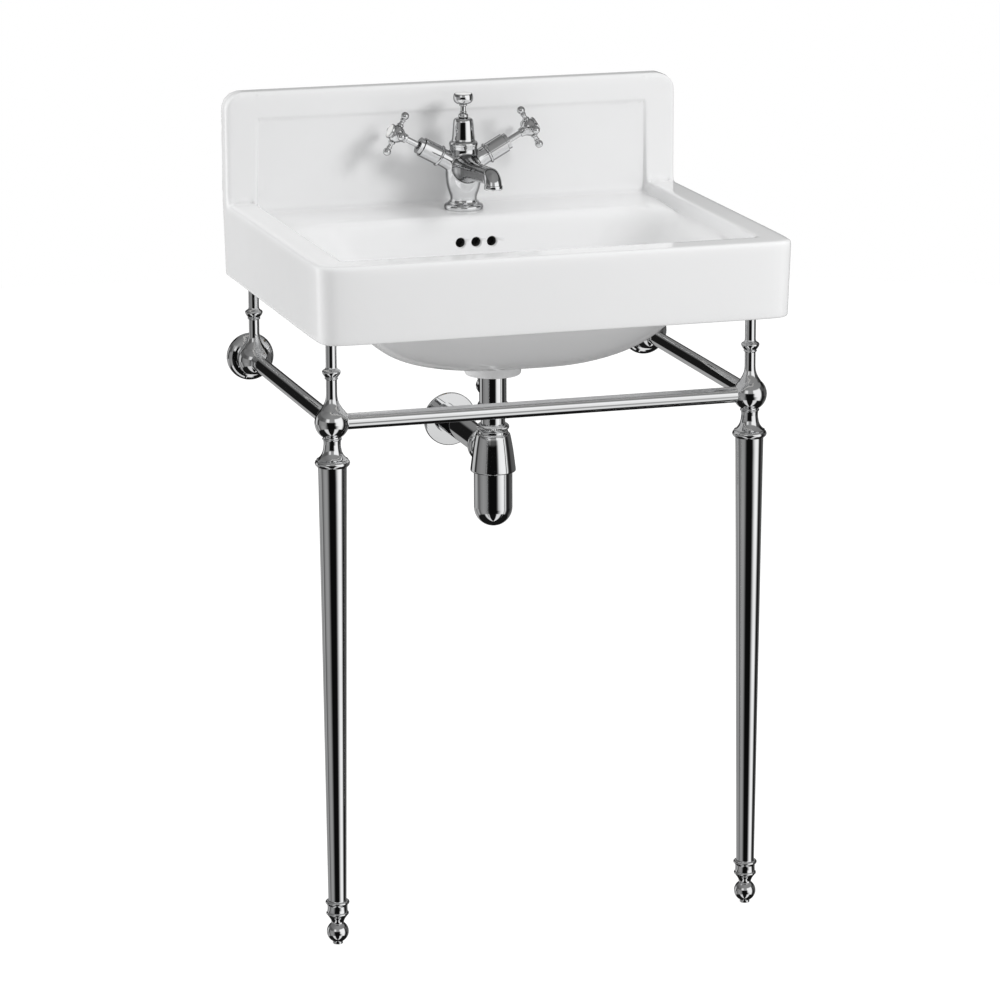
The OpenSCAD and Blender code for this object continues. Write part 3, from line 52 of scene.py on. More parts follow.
lens = bpy.data.cameras.new("camera")
lens.sensor_width = FILM_W
lens.lens = VIEW_LENS
lens.clip_end = VIEW_REACH * MM
camera = bpy.data.objects.new("camera", lens)
camera.matrix_world = (
    Matrix.Translation(Vector(VIEW_PLACE) * MM)
    @ Matrix.Rotation(VIEW_TURN, 4, "Z")
    @ Matrix.Rotation(math.pi / 2 - VIEW_DIP, 4, "X")
    @ Matrix.Rotation(VIEW_ROLL, 4, "Z")
)
bpy.context.scene.collection.objects.link(camera)
bpy.context.scene.camera = camera

# Studio
# A white room for the eye, soft light from above, and bright and dark screens that only reflections show:
# a black gap by the camera, a large white screen to its right and grey ones to its left. Each wall below
# lists its tones by degrees round the camera, and each step blends two walls by height.
ROOM_TURN = math.radians(16.95)
ROOM_WALLS = {
    "down": [(-180, 0.01), (-62, 0.01), (-52, 0.7), (-30, 0.7), (-24, 0.006), (18, 0.006), (26, 0.8),
             (48, 0.8), (58, 0.008), (180, 0.008)],
    "low": [(-180, 0.3), (-135, 0.4), (-120, 0.2), (-110, 0.34), (-102, 0.42), (-95, 0.14), (-86, 0.12),
            (-78, 0.25), (-60, 0.32), (-45, 0.29), (-36, 0.16), (-27, 0.03), (-22, 0.004), (21, 0.004),
            (27, 0.04), (36, 0.35), (46, 0.75), (56, 0.95), (72, 0.97), (79, 0.6), (85, 0.2), (90, 0.02),
            (105, 0.006), (114, 0.03), (126, 0.07), (142, 0.14), (165, 0.22), (180, 0.22)],
    "level": [(-180, 0.05), (-152, 0.01), (-139, 0.01), (-133, 0.5), (-120, 0.6), (-112, 0.5), (-106, 0.03),
              (-97, 0.03), (-90, 0.2), (-60, 0.28), (-38, 0.25), (-29, 0.02), (-24, 0.004), (19, 0.004),
              (25, 0.2), (32, 0.85), (45, 0.97), (76, 0.97), (84, 0.2), (88, 0.02), (104, 0.02),
              (112, 0.09), (150, 0.12), (170, 0.03), (180, 0.03)],
    "high": [(-180, 0.22), (-160, 0.2), (-153, 0.01), (-140, 0.01), (-133, 0.12), (-70, 0.09), (-45, 0.16),
             (-32, 0.75), (-20, 0.85), (-12, 0.3), (18, 0.28), (25, 0.97), (78, 0.97), (85, 0.1),
             (118, 0.06), (126, 0.008), (160, 0.008), (168, 0.2), (180, 0.22)],
    "zenith": [(-180, 0.2), (-90, 0.16), (0, 0.26), (90, 0.24), (180, 0.2)],
}
ROOM_STEPS = [("low", -0.60, -0.54), ("level", -0.255, -0.215), ("high", 0.13, 0.21),
              ("zenith", 0.47, 0.56)]
SOFT_SKY = [(0.0, 0.45), (0.5, 0.61), (1.0, 0.84)]
LAMP_AIM = (0, 0, 0.8)
KEY = ("key", (0.54, -0.69, 0.48), 2.6, 0.75, 26)
FILL = ("fill", (-1.0, 0.45, 0.1), 3.0, 2.2, 46)
FLOOR_R = 4000
FLOOR_TONES = [(0.3, 0.24), (0.7, 0.26)]
FLOOR_CLOUDS = 1.5
FLOOR_BOUNCE = (0.58, 0.58, 0.58, 1)
FLOOR_GLOW = (0.89, 0.89, 0.89, 1)

scene = bpy.context.scene
scene.view_settings.view_transform = "Standard"
scene.view_settings.look = "None"
scene.view_settings.exposure = 0
scene.view_settings.gamma = 1


def math_node(tree, work, first, second=0.0, third=0.0):
    """A math node over values or sockets, giving its output."""
    made = tree.nodes.new("ShaderNodeMath")
    made.operation = work
    for place, value in enumerate((first, second, third)):
        if isinstance(value, (int, float)):
            made.inputs[place].default_value = value
        else:
            tree.links.new(value, made.inputs[place])
    return made.outputs[0]


def ramp(tree, value, stops):
    """A colour ramp over a value; each stop is a place and a grey or a colour."""
    made = tree.nodes.new("ShaderNodeValToRGB")
    points = made.color_ramp.elements
    for index, (place, tone) in enumerate(stops):
        point = points[index] if index < 2 else points.new(place)
        point.position = place
        point.color = (tone, tone, tone, 1) if isinstance(tone, (int, float)) else (*tone, 1)
    tree.links.new(value, made.inputs[0])
    return made.outputs[0]


def mixed(tree, share, first, second):
    """A colour between two, by a share; each is a socket, a grey or a colour."""
    made = tree.nodes.new("ShaderNodeMix")
    made.data_type = "RGBA"
    for place, value in ((0, share), (6, first), (7, second)):
        if isinstance(value, bpy.types.NodeSocket):
            tree.links.new(value, made.inputs[place])
        elif place == 0:
            made.inputs[place].default_value = value
        else:
            tone = (value,) * 3 if isinstance(value, float) else value
            made.inputs[place].default_value = (*tone, 1)
    return made.outputs[2]


def shining(tree, tone):
    """A background of a colour or a socket."""
    made = tree.nodes.new("ShaderNodeBackground")
    if isinstance(tone, float):
        made.inputs[0].default_value = (tone, tone, tone, 1)
    else:
        tree.links.new(tone, made.inputs[0])
    return made.outputs[0]


def either(tree, share, first, second):
    """One shader where the share is 0 and another where it is 1."""
    made = tree.nodes.new("ShaderNodeMixShader")
    for place, value in enumerate((share, first, second)):
        tree.links.new(value, made.inputs[place])
    return made.outputs[0]


def studio():
    world = bpy.data.worlds.new("studio")
    scene.world = world
    world.use_nodes = True
    tree = world.node_tree
    tree.nodes.clear()
    place = tree.nodes.new("ShaderNodeTexCoord")
    split = tree.nodes.new("ShaderNodeSeparateXYZ")
    tree.links.new(place.outputs["Generated"], split.inputs[0])
    back = math_node(tree, "MULTIPLY", split.outputs["Y"], -1.0)
    angle = math_node(tree, "ADD", math_node(tree, "ARCTAN2", split.outputs["X"], back), ROOM_TURN)
    turned = math_node(tree, "WRAP", angle, math.pi, -math.pi)
    share = math_node(tree, "ADD", math_node(tree, "DIVIDE", turned, 2 * math.pi), 0.5)
    height = math_node(tree, "MULTIPLY_ADD", split.outputs["Z"], 0.5, 0.5)
    walls = {name: ramp(tree, share, [((a + 180) / 360, tone) for a, tone in bands])
             for name, bands in ROOM_WALLS.items()}
    room = walls["down"]
    for name, low, high in ROOM_STEPS:
        step = ramp(tree, height, [((low + 1) / 2, 0.0), ((high + 1) / 2, 1.0)])
        room = mixed(tree, step, room, walls[name])
    path = tree.nodes.new("ShaderNodeLightPath")
    soft = shining(tree, ramp(tree, height, SOFT_SKY))
    lit = either(tree, path.outputs["Is Glossy Ray"], soft, shining(tree, room))
    seen = either(tree, path.outputs["Is Camera Ray"], lit, shining(tree, 1.0))
    out = tree.nodes.new("ShaderNodeOutputWorld")
    tree.links.new(seen, out.inputs[0])


def softbox(name, towards, away, size, power):
    """A round lamp that shines on the basin from a direction, and that nothing mirrors."""
    light = bpy.data.lights.new(name, "AREA")
    light.shape = "DISK"
    light.size = size
    light.energy = power
    lamp = bpy.data.objects.new(name, light)
    aim = Vector(LAMP_AIM)
    spot = aim + Vector(towards).normalized() * away
    lamp.location = spot
    lamp.rotation_euler = (aim - spot).to_track_quat("-Z", "Y").to_euler()
    lamp.visible_glossy = False
    scene.collection.objects.link(lamp)


studio()
softbox(*KEY)
softbox(*FILL)


def put(name, shape, finish=None):
    """An object in metres from a bmesh in millimetres, with outward normals."""
    bmesh.ops.recalc_face_normals(shape, faces=shape.faces)
    mesh = bpy.data.meshes.new(name)
    bmesh.ops.scale(shape, vec=(MM, MM, MM), verts=shape.verts)
    shape.to_mesh(mesh)
    shape.free()
    made = bpy.data.objects.new(name, mesh)
    scene.collection.objects.link(made)
    if finish:
        mesh.materials.append(finish)
    return made


def floor_finish():
    """A pale floor: white to the eye with faint shadows, and clear in the screens' reflections."""
    made = bpy.data.materials.new("studio_floor")
    made.use_nodes = True
    tree = made.node_tree
    tree.nodes.clear()
    place = tree.nodes.new("ShaderNodeTexCoord")
    cloud = tree.nodes.new("ShaderNodeTexNoise")
    cloud.inputs["Scale"].default_value = FLOOR_CLOUDS
    tree.links.new(place.outputs["Object"], cloud.inputs["Vector"])
    pale = tree.nodes.new("ShaderNodeBsdfDiffuse")
    tree.links.new(ramp(tree, cloud.outputs[0], FLOOR_TONES), pale.inputs[0])
    bounce = tree.nodes.new("ShaderNodeBsdfDiffuse")
    bounce.inputs[0].default_value = FLOOR_BOUNCE
    glow = tree.nodes.new("ShaderNodeEmission")
    glow.inputs[0].default_value = FLOOR_GLOW
    both = tree.nodes.new("ShaderNodeAddShader")
    tree.links.new(pale.outputs[0], both.inputs[0])
    tree.links.new(glow.outputs[0], both.inputs[1])
    clear = tree.nodes.new("ShaderNodeBsdfTransparent")
    path = tree.nodes.new("ShaderNodeLightPath")
    lit = either(tree, path.outputs["Is Glossy Ray"], bounce.outputs[0], clear.outputs[0])
    seen = either(tree, path.outputs["Is Camera Ray"], lit, both.outputs[0])
    out = tree.nodes.new("ShaderNodeOutputMaterial")
    tree.links.new(seen, out.inputs[0])
    return made


shape = bmesh.new()
bmesh.ops.create_circle(shape, cap_ends=True, segments=96, radius=FLOOR_R)
floor = put("floor", shape, floor_finish())

# Basin
# One slip-cast fireclay body under a white glaze, hollow under its rim, with a moulded upstand: cast in
# plaster, trimmed, punched for the tap, waste, overflow and bolts, then glazed. A ring of it is listed as
# half width, front, rear, corner and height, with the points of its rear columns where it meets the wall.
RIM_Z = 835
DECK_Z = 822
APRON_FOOT_Z = 743
UNDER_Z = 808
HALF_W = 290
FRONT_Y = -235
WALL_Y = 235
FACE_Y = 210
PANEL_Y = 215
FIELD_W = 253
BOWL_W = 234
BOWL_FRONT = -190
BOWL_REAR = 115
WASTE_Y = 46
TAP_Y = 168
BOWL_R = 62
BOWL_R_GROW = 22
BOWL_DROP = 147
WALL_T = 13
SIDE_LEAN = 0.34
FRONT_LEAN = 0.3
REAR_LEAN = 0.12
FOOT_SQUARE = 4.5
BOWL_DEPTHS = [0.085, 0.2, 0.33, 0.46, 0.58, 0.69, 0.79, 0.87, 0.93, 0.97]
SHELL_DEPTHS = [0.0875, 0.13, 0.2, 0.33, 0.46, 0.58, 0.69, 0.79, 0.87, 0.93, 0.965]
EVEN_FROM = 0.3
BOWL_EVEN = 0.7
SHELL_EVEN = 0.665
FRONT_CORNER = (3, 4)
REAR_FROM = 9
PANEL_FROM = 13
WASTE_SEAT = [(22.5, 660), (22.6, 666.6), (24, 667.5), (31, 667.5), (32.6, 668), (32.9, 671.4),
              (33.6, 673), (36, 673.6)]
BOWL_FLOOR = (56, 0, 85.5, 42, 675.2)
BOWL_EDGE = (241.5, -187.6, 116.5, BOWL_R, 816.8)
EDGE_CORNER_Z = 819.6
EDGE_TURN_Z = 818.5
EDGE_REAR_Z = 821.2
PANEL_FOOT_Z = 838
RIM_RINGS = {
    "lip": (248.7, -188.6, 129, 40, 818.8),
    "deck": (249.4, -189.4, 201, 24, 820.6),
    "wall_foot": (250, -190, 215, 9, DECK_Z),
    "inner": (FIELD_W, -193, 215, 9, RIM_Z),
    "inside": (259, -199, 219, 13, RIM_Z),
    "outside": (281.5, -226.5, 232, 18, RIM_Z),
}
REAR_COLUMNS = {
    "lip": [(246.5, 84), (243, 100), (237, 112), (228, 121), (216, 127), (203, 129), (188, 129),
            (94, 129), (0, 129)],
    "deck": [(249.4, 178), (249.2, 188), (248.6, 194), (246.5, 199), (242, 201), (236, 201),
             (214, 201), (110, 201), (0, 201)],
    "wall_foot": [(250, 190), (250, 203), (250, 208), (250, 212.5), (250, PANEL_Y), (246, PANEL_Y),
                  (228, PANEL_Y), (120, PANEL_Y), (0, PANEL_Y)],
    "inner": [(FIELD_W, 197), (FIELD_W, FACE_Y), (252.2, 211.3), (250.8, 213.7), (250, PANEL_Y),
              (246, PANEL_Y), (228, PANEL_Y), (120, PANEL_Y), (0, PANEL_Y)],
    "inside": [(259, 197), (258, FACE_Y), (258, 213.5), (257, 217), (256, 219), (251, 219.5),
               (234, 219.5), (122, 219.5), (0, 219.5)],
    "outside": [(281.5, 197), (281.5, FACE_Y), (282.2, 215), (285, 227), (286, 231), (282, 231.5),
                (250, 231.5), (126, 231.5), (0, 231.5)],
}
APRON_R = 25
APRON_DRAFT = [(0.25, 825.5), (1.3, 790), (2.4, 748), (2.5, APRON_FOOT_Z)]
APRON_BACK = [(283.5, -228.5, 231, 21, APRON_FOOT_Z), (277, -222, 225, 15, APRON_FOOT_Z),
              (273.5, -218.5, 221, 12, APRON_FOOT_Z), (273.5, -218.5, 221, 12, 747),
              (273.5, -218.5, 221, 14, 801), (273, -218, 220.5, 14, UNDER_Z),
              (266, -211, 214, 16, UNDER_Z)]
SHELL_FLOOR = (72, -26, 93, 52, 660.5)
WASTE_BOSS = [(42, 659), (36.5, 658), (35, 655), (35, 642), (34.4, 638.2), (31.5, 637.5), (30, 637.5),
              (29.1, 638.4), (29, 649), (28.4, 651.3), (24.5, 651.5), (22.7, 652), (22.5, 656)]
UPSTAND_ROWS = [(850, 0, None), (926, 0.64, None), (937, 0.72, None), (939.8, 1, None), (947, 1, None),
                (954, 1, None), (961.5, 1, 287.3), (968.6, 1, 280), (972, 1, 270)]
PANEL_IN = 1.5
PANEL_SIDE = 240
TOP_ROUND = {968.6: 0.7, 972: 3.4}
SHOULDER_SQUEEZE = 0.6
LUGS = [(side * 259.5, y) for side in (-1, 1) for y in (-160.5, 210.2)]
LUG_SIZE = (36, 30, 53)
LUG_Z = 782.5
LUG_ROUND = 3
DUCT_OUTSIDE = [(118, 812), (145, 812), (145, 709), (120, 670), (89, 648.5), (60, 648.5), (60, 660),
                (84, 668), (100, 690), (112, 725)]
DUCT_OUTSIDE_HALF = 36
DUCT_INSIDE = [(128, 801), (137, 801), (137, 713), (112, 678), (85, 656.5), (46, 656.5), (46, 665.5),
               (85, 665.5), (103, 682.5), (128, 717.5)]
DUCT_INSIDE_HALF = 28
DUCT_SPACE = {"X": (0, 28.6), "Y": (127.8, 11), "Z": (760, 42)}
OVERFLOW = [(0, 106), (8.4, 106), (7.8, 111), (6.9, 113.2), (6.2, 114.4), (5.9, 116.4), (5.9, 131),
            (0, 131)]
OVERFLOW_X = (-20, 0, 20)
OVERFLOW_Z = 789
TAP_HOLE_R = 17.5
TAP_HOLE_Z = 815
BOLT_HOLE_R = 7
BOLT_X = 140
BOLT_Z = 785
PUNCH_L = 40
GLAZE = (0.86, 0.862, 0.865)
GLAZE_THIN = tuple(tone * 0.985 for tone in GLAZE)
GLAZE_GLOSS = 0.38
BISCUIT = (0.78, 0.765, 0.74)
BISCUIT_ROUGH = (0.75, 0.75, 0.75)
BARE_BACK_Y = 234.6
BARE_FOOT_H = 0.35
# Painted shade: the near-black colour given to the inside of the overflow duct, in place of the shadow in
# its holes.
DUCT_PAINTED_SHADE = (0.09, 0.088, 0.085)
SURFACE_NOISE = ((1, 1.0, 0.5), (9, 3.0, 0.6), (0.35, 2.0, 0.5))
CLOUD_EDGES = (0.35, 0.65)
SMUDGE_EDGES = (0.4, 0.75)


def along_ring(hw, y0, y1, r, s):
    """The point at length s round the right half of a rounded rectangle, from its front middle."""
    arc = math.pi * r / 2
    flat = hw - r
    side = y1 - y0 - 2 * r
    if s <= flat:
        return (s, y0)
    s -= flat
    if s <= arc:
        a = s / r - math.pi / 2
        return (flat + r * math.cos(a), y0 + r + r * math.sin(a))
    s -= arc
    if s <= side:
        return (hw, y0 + r + s)
    s -= side
    if s <= arc:
        a = s / r
        return (flat + r * math.cos(a), y1 - r + r * math.sin(a))
    return (max(flat - (s - arc), 0), y1)


def half_ring(hw, y0, y1, r, z, even=0.0, rear=None):
    """The columns of one half ring, gathered at the corners, or spaced evenly where even is 1."""
    r = min(r, hw - 0.01, (y1 - y0) / 2 - 0.01)
    arc = math.pi * r / 2
    flat = hw - r
    side = y1 - y0 - 2 * r
    total = 2 * flat + 2 * arc + side
    marks = [0, flat / 2] + [flat + arc * k / 3 for k in range(4)]
    marks += [flat + arc + side * k for k in (0.3, 0.62, 0.92)]
    marks += [flat + arc + side + arc * k / 6 for k in range(7)]
    marks += [total - flat * 0.5, total]
    last = len(marks) - 1
    points = [along_ring(hw, y0, y1, r, (1 - even) * m + even * total * k / last)
              for k, m in enumerate(marks)]
    if rear:
        points[REAR_FROM:] = rear
    points[0] = (0, points[0][1])
    points[-1] = (0, points[-1][1])
    return [Vector((x, y, z)) for x, y in points]


def square_rear(hw, y):
    """The rear columns of a ring that runs square into the wall."""
    return [(hw, y - 38), (hw, FACE_Y - (WALL_Y - y) * 0.3), (hw, y - 16 + (WALL_Y - y) * 0.4), (hw, y - 4),
            (hw, y), (hw - 4, y), (hw - 37, y), (hw * 0.44, y), (0, y)]


def bowl_ring(u, out=0.0, even=0.0):
    """A level ring of the bowl at a share of its depth, or of its outer shell."""
    foot = (1 - u ** FOOT_SQUARE) ** (1 / FOOT_SQUARE)
    hw = BOWL_W * (1 - SIDE_LEAN * u) * foot + out
    y0 = WASTE_Y - (WASTE_Y - BOWL_FRONT) * (1 - FRONT_LEAN * u) * foot - out
    y1 = WASTE_Y + (BOWL_REAR - WASTE_Y) * (1 - REAR_LEAN * u) * foot + out
    r = BOWL_R + BOWL_R_GROW * u + out
    return half_ring(hw, y0, y1, r, DECK_Z - (BOWL_DROP + out) * u, even)


def round_ring(r, z):
    return half_ring(r, WASTE_Y - r, WASTE_Y + r, r, z, 1.0)


def basin_rings():
    """Every half ring of the casting, from the waste hole out over the rim, down and back underneath."""
    rings = [round_ring(r, z) for r, z in WASTE_SEAT]
    rings.append(half_ring(*BOWL_FLOOR, 1.0))
    for u in reversed(BOWL_DEPTHS):
        rings.append(bowl_ring(u, 0.0, max(0.0, (u - EVEN_FROM) / BOWL_EVEN)))
    edge = half_ring(*BOWL_EDGE)
    for k in range(REAR_FROM, len(edge)):
        edge[k].z = EDGE_TURN_Z if k == REAR_FROM else EDGE_REAR_Z
    for k in FRONT_CORNER:
        edge[k].z = EDGE_CORNER_Z
    rim = {name: half_ring(*sizes, rear=REAR_COLUMNS[name]) for name, sizes in RIM_RINGS.items()}
    for name in ("lip", "deck"):
        for k in (*FRONT_CORNER, *range(REAR_FROM, len(edge))):
            rim[name][k].z = DECK_Z
    for k in range(PANEL_FROM, len(edge)):
        rim["inner"][k].z = PANEL_FOOT_Z
    rings += [edge, *rim.values()]
    rings.append(half_ring(HALF_W, FRONT_Y, WALL_Y, APRON_R, RIM_Z, rear=square_rear(HALF_W, WALL_Y)))
    for out, z in APRON_DRAFT:
        hw = HALF_W - out
        rings.append(half_ring(hw, FRONT_Y + out, WALL_Y, APRON_R, z, rear=square_rear(hw, WALL_Y)))
    for hw, front, rear, r, z in APRON_BACK:
        rings.append(half_ring(hw, front, rear, r, z, rear=square_rear(hw, rear)))
    for u in SHELL_DEPTHS:
        rings.append(bowl_ring(u, WALL_T, max(0.0, (u - EVEN_FROM) / SHELL_EVEN)))
    rings.append(half_ring(*SHELL_FLOOR, 1.0))
    return rings + [round_ring(r, z) for r, z in WASTE_BOSS]


def upstand(shape):
    """Raises the upstand from the rear of the rim, with its sunk panel and its round top corners."""
    for name in ("across", "deep"):
        shape.verts.layers.float.new(name)
    across = shape.verts.layers.float["across"]
    deep = shape.verts.layers.float["deep"]
    for v in shape.verts:
        v[across] = v.co.x
        v[deep] = v.co.y
    top = [f for f in shape.faces if min(v.co.y for v in f.verts) > FACE_Y - 0.01
           and all(v.co.z > RIM_Z - 0.01 for v in f.verts)]
    for z, out, shoulder in UPSTAND_ROWS:
        made = bmesh.ops.extrude_face_region(shape, geom=top)
        bmesh.ops.delete(shape, geom=top, context="FACES_ONLY")
        top = [g for g in made["geom"] if isinstance(g, bmesh.types.BMFace)]
        for v in [g for g in made["geom"] if isinstance(g, bmesh.types.BMVert)]:
            v.co.z = z
            base = v[across]
            if base < FIELD_W - 0.5 and v[deep] < PANEL_Y + 0.1:
                v.co.y = v[deep] + (FACE_Y - v[deep]) * out
                if base > PANEL_SIDE:
                    v.co.x = base - PANEL_IN * out
            if v[deep] < PANEL_Y + 0.1:
                v.co.y += TOP_ROUND.get(z, 0)
            if shoulder:
                v.co.x = min(v.co.x, shoulder - (HALF_W - base) * SHOULDER_SQUEEZE)


def casting():
    shape = bmesh.new()
    loops = []
    for ring in basin_rings():
        loops.append([shape.verts.new(p) for p in ring])
    for below, above in zip(loops, loops[1:] + loops[:1]):
        for k in range(len(below) - 1):
            shape.faces.new((below[k], above[k], above[k + 1], below[k + 1]))
    upstand(shape)
    for v in shape.verts:
        if abs(v.co.x) < 0.01:
            v.co.x = 0
    middle = [f for f in shape.faces if all(v.co.x == 0 for v in f.verts)]
    bmesh.ops.delete(shape, geom=middle, context="FACES_ONLY")
    bmesh.ops.mirror(shape, geom=shape.verts[:] + shape.edges[:] + shape.faces[:], axis="X",
                     merge_dist=0.001)
    return shape


def settle(piece):
    """Makes a piece's modifiers part of its mesh."""
    view = bpy.context.evaluated_depsgraph_get()
    made = bpy.data.meshes.new_from_object(piece.evaluated_get(view))
    piece.modifiers.clear()
    piece.data = made
    return piece


def smooth(piece, sharp=35):
    """Smooth shading that keeps the edges sharper than an angle."""
    mesh = piece.data
    for face in mesh.polygons:
        face.use_smooth = True
    mesh.set_sharp_from_angle(angle=math.radians(sharp))
    return piece


def change(piece, shape, work):
    """Adds a second solid to a piece, or cuts it away."""
    tool = put("tool", shape)
    step = piece.modifiers.new("change", "BOOLEAN")
    step.operation = work
    step.solver = "EXACT"
    step.object = tool
    settle(piece)
    bpy.data.objects.remove(tool)


def slab(shape, outline, half):
    """A prism across the basin from an outline in y and z."""
    face = shape.faces.new([shape.verts.new((-half, y, z)) for y, z in outline])
    raised = bmesh.ops.extrude_face_region(shape, geom=[face])["geom"]
    verts = [g for g in raised if isinstance(g, bmesh.types.BMVert)]
    bmesh.ops.translate(shape, vec=(2 * half, 0, 0), verts=verts)


def drill(shape, r, depth, place):
    bmesh.ops.create_cone(shape, cap_ends=True, segments=48, radius1=r, radius2=r, depth=depth,
                          matrix=place)


def spun(shape, outline, place=Matrix.Identity(4), steps=64):
    """Turns half an outline of radius and height round Z, then lays the new surface in its place."""
    kept = set(shape.verts)
    verts = [shape.verts.new((r, 0, z)) for r, z in outline]
    edges = [shape.edges.new(pair) for pair in zip(verts, verts[1:])]
    bmesh.ops.spin(shape, geom=verts + edges, cent=(0, 0, 0), axis=(0, 0, 1), angle=2 * math.pi,
                   steps=steps, use_merge=True)
    new = [v for v in shape.verts if v not in kept]
    bmesh.ops.remove_doubles(shape, verts=new, dist=0.0005)
    new = [v for v in shape.verts if v not in kept]
    bmesh.ops.transform(shape, matrix=place, verts=new)
    return new


FACING_WALL = Matrix.Rotation(-math.pi / 2, 4, "X")


def under_parts():
    """The four support lugs and the overflow's duct, that hang under the rim and behind the bowl."""
    shape = bmesh.new()
    for x, y in LUGS:
        place = Matrix.Translation((x, y, LUG_Z)) @ Matrix.Diagonal((*LUG_SIZE, 1))
        cube = bmesh.ops.create_cube(shape, size=1, matrix=place)["verts"]
        edges = {e for v in cube for e in v.link_edges if any(w.co.z < LUG_Z for w in e.verts)}
        bmesh.ops.bevel(shape, geom=list(edges), affect="EDGES", offset=LUG_ROUND, segments=2, profile=0.5,
                        material=-1)
    slab(shape, DUCT_OUTSIDE, DUCT_OUTSIDE_HALF)
    return shape


def noise_group():
    """Slow waves, fine smudges and wide clouds over a surface: three noises, all scaled by one size."""
    group = bpy.data.node_groups.new("surface_life", "ShaderNodeTree")
    group.interface.new_socket("Size", in_out="INPUT", socket_type="NodeSocketFloat")
    for name in ("Waves", "Marks", "Clouds"):
        group.interface.new_socket(name, in_out="OUTPUT", socket_type="NodeSocketFloat")
    start = group.nodes.new("NodeGroupInput")
    end = group.nodes.new("NodeGroupOutput")
    place = group.nodes.new("ShaderNodeTexCoord")
    for slot, (grow, detail, coarse) in enumerate(SURFACE_NOISE):
        noise = group.nodes.new("ShaderNodeTexNoise")
        noise.inputs["Detail"].default_value = detail
        noise.inputs["Roughness"].default_value = coarse
        group.links.new(place.outputs["Object"], noise.inputs["Vector"])
        group.links.new(math_node(group, "MULTIPLY", start.outputs[0], grow), noise.inputs["Scale"])
        group.links.new(noise.outputs[0], end.inputs[slot])
    return group


surface_life = noise_group()


def finish_of(name, size, tones, rough, bump, **plain):
    """A material with clouds of colour, smudges in its gloss and slow waves in its surface."""
    made = bpy.data.materials.new(name)
    made.use_nodes = True
    tree = made.node_tree
    skin = tree.nodes["Principled BSDF"]
    life = tree.nodes.new("ShaderNodeGroup")
    life.node_tree = surface_life
    life.inputs["Size"].default_value = size
    tree.links.new(ramp(tree, life.outputs["Clouds"], zip(CLOUD_EDGES, tones)), skin.inputs["Base Color"])
    tree.links.new(ramp(tree, life.outputs["Marks"], zip(SMUDGE_EDGES, rough)), skin.inputs["Roughness"])
    relief = tree.nodes.new("ShaderNodeBump")
    relief.inputs["Strength"].default_value = bump[0]
    relief.inputs["Distance"].default_value = bump[1] * MM
    tree.links.new(life.outputs["Waves"], relief.inputs["Height"])
    tree.links.new(relief.outputs[0], skin.inputs["Normal"])
    for socket, value in plain.items():
        skin.inputs[socket.replace("_", " ")].default_value = value
    return made


def glazed_ceramic():
    """White glaze, with fired clay bare on the back and the foot edge, and painted shade inside the duct.
    """
    made = finish_of("glazed_ceramic", size=14, tones=(GLAZE, GLAZE_THIN), rough=(0.07, 0.13),
                     bump=(0.12, 1.2), Specular_IOR_Level=GLAZE_GLOSS)
    tree = made.node_tree
    skin = tree.nodes["Principled BSDF"]
    place = tree.nodes.new("ShaderNodeTexCoord")
    split = tree.nodes.new("ShaderNodeSeparateXYZ")
    tree.links.new(place.outputs["Object"], split.inputs[0])
    back = math_node(tree, "GREATER_THAN", split.outputs["Y"], BARE_BACK_Y * MM)
    above = math_node(tree, "SUBTRACT", split.outputs["Z"], APRON_FOOT_Z * MM)
    foot = math_node(tree, "LESS_THAN", math_node(tree, "ABSOLUTE", above), BARE_FOOT_H * MM)
    bare = math_node(tree, "MAXIMUM", back, foot)
    duct = 1.0
    for axis, (middle, half) in DUCT_SPACE.items():
        away = math_node(tree, "ABSOLUTE", math_node(tree, "SUBTRACT", split.outputs[axis], middle * MM))
        duct = math_node(tree, "MULTIPLY", math_node(tree, "LESS_THAN", away, half * MM), duct)
    for socket, tone in (("Base Color", BISCUIT), ("Roughness", BISCUIT_ROUGH)):
        glossy = skin.inputs[socket].links[0].from_socket
        tree.links.new(mixed(tree, bare, glossy, tone), skin.inputs[socket])
    # Painted shade: inside the overflow duct the glaze colour is painted near black, standing in for the
    # shadow in the holes.
    pale = skin.inputs["Base Color"].links[0].from_socket
    tree.links.new(mixed(tree, duct, pale, DUCT_PAINTED_SHADE), skin.inputs["Base Color"])
    return made


body = put("basin_body", casting())
rounder = body.modifiers.new("rounding", "SUBSURF")
rounder.levels = rounder.render_levels = 2
settle(body)
change(body, under_parts(), "UNION")
shape = bmesh.new()
slab(shape, DUCT_INSIDE, DUCT_INSIDE_HALF)
drill(shape, TAP_HOLE_R, PUNCH_L, Matrix.Translation((0, TAP_Y, TAP_HOLE_Z)))
for side in (-1, 1):
    drill(shape, BOLT_HOLE_R, PUNCH_L, Matrix.Translation((side * BOLT_X, WALL_Y, BOLT_Z)) @ FACING_WALL)
change(body, shape, "DIFFERENCE")
shape = bmesh.new()
for x in OVERFLOW_X:
    spun(shape, OVERFLOW, Matrix.Translation((x, 0, OVERFLOW_Z)) @ FACING_WALL, steps=40)
change(body, shape, "DIFFERENCE")
body.data.materials.append(glazed_ceramic())
smooth(body, 62)
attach(body, "frame")
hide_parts("basin")

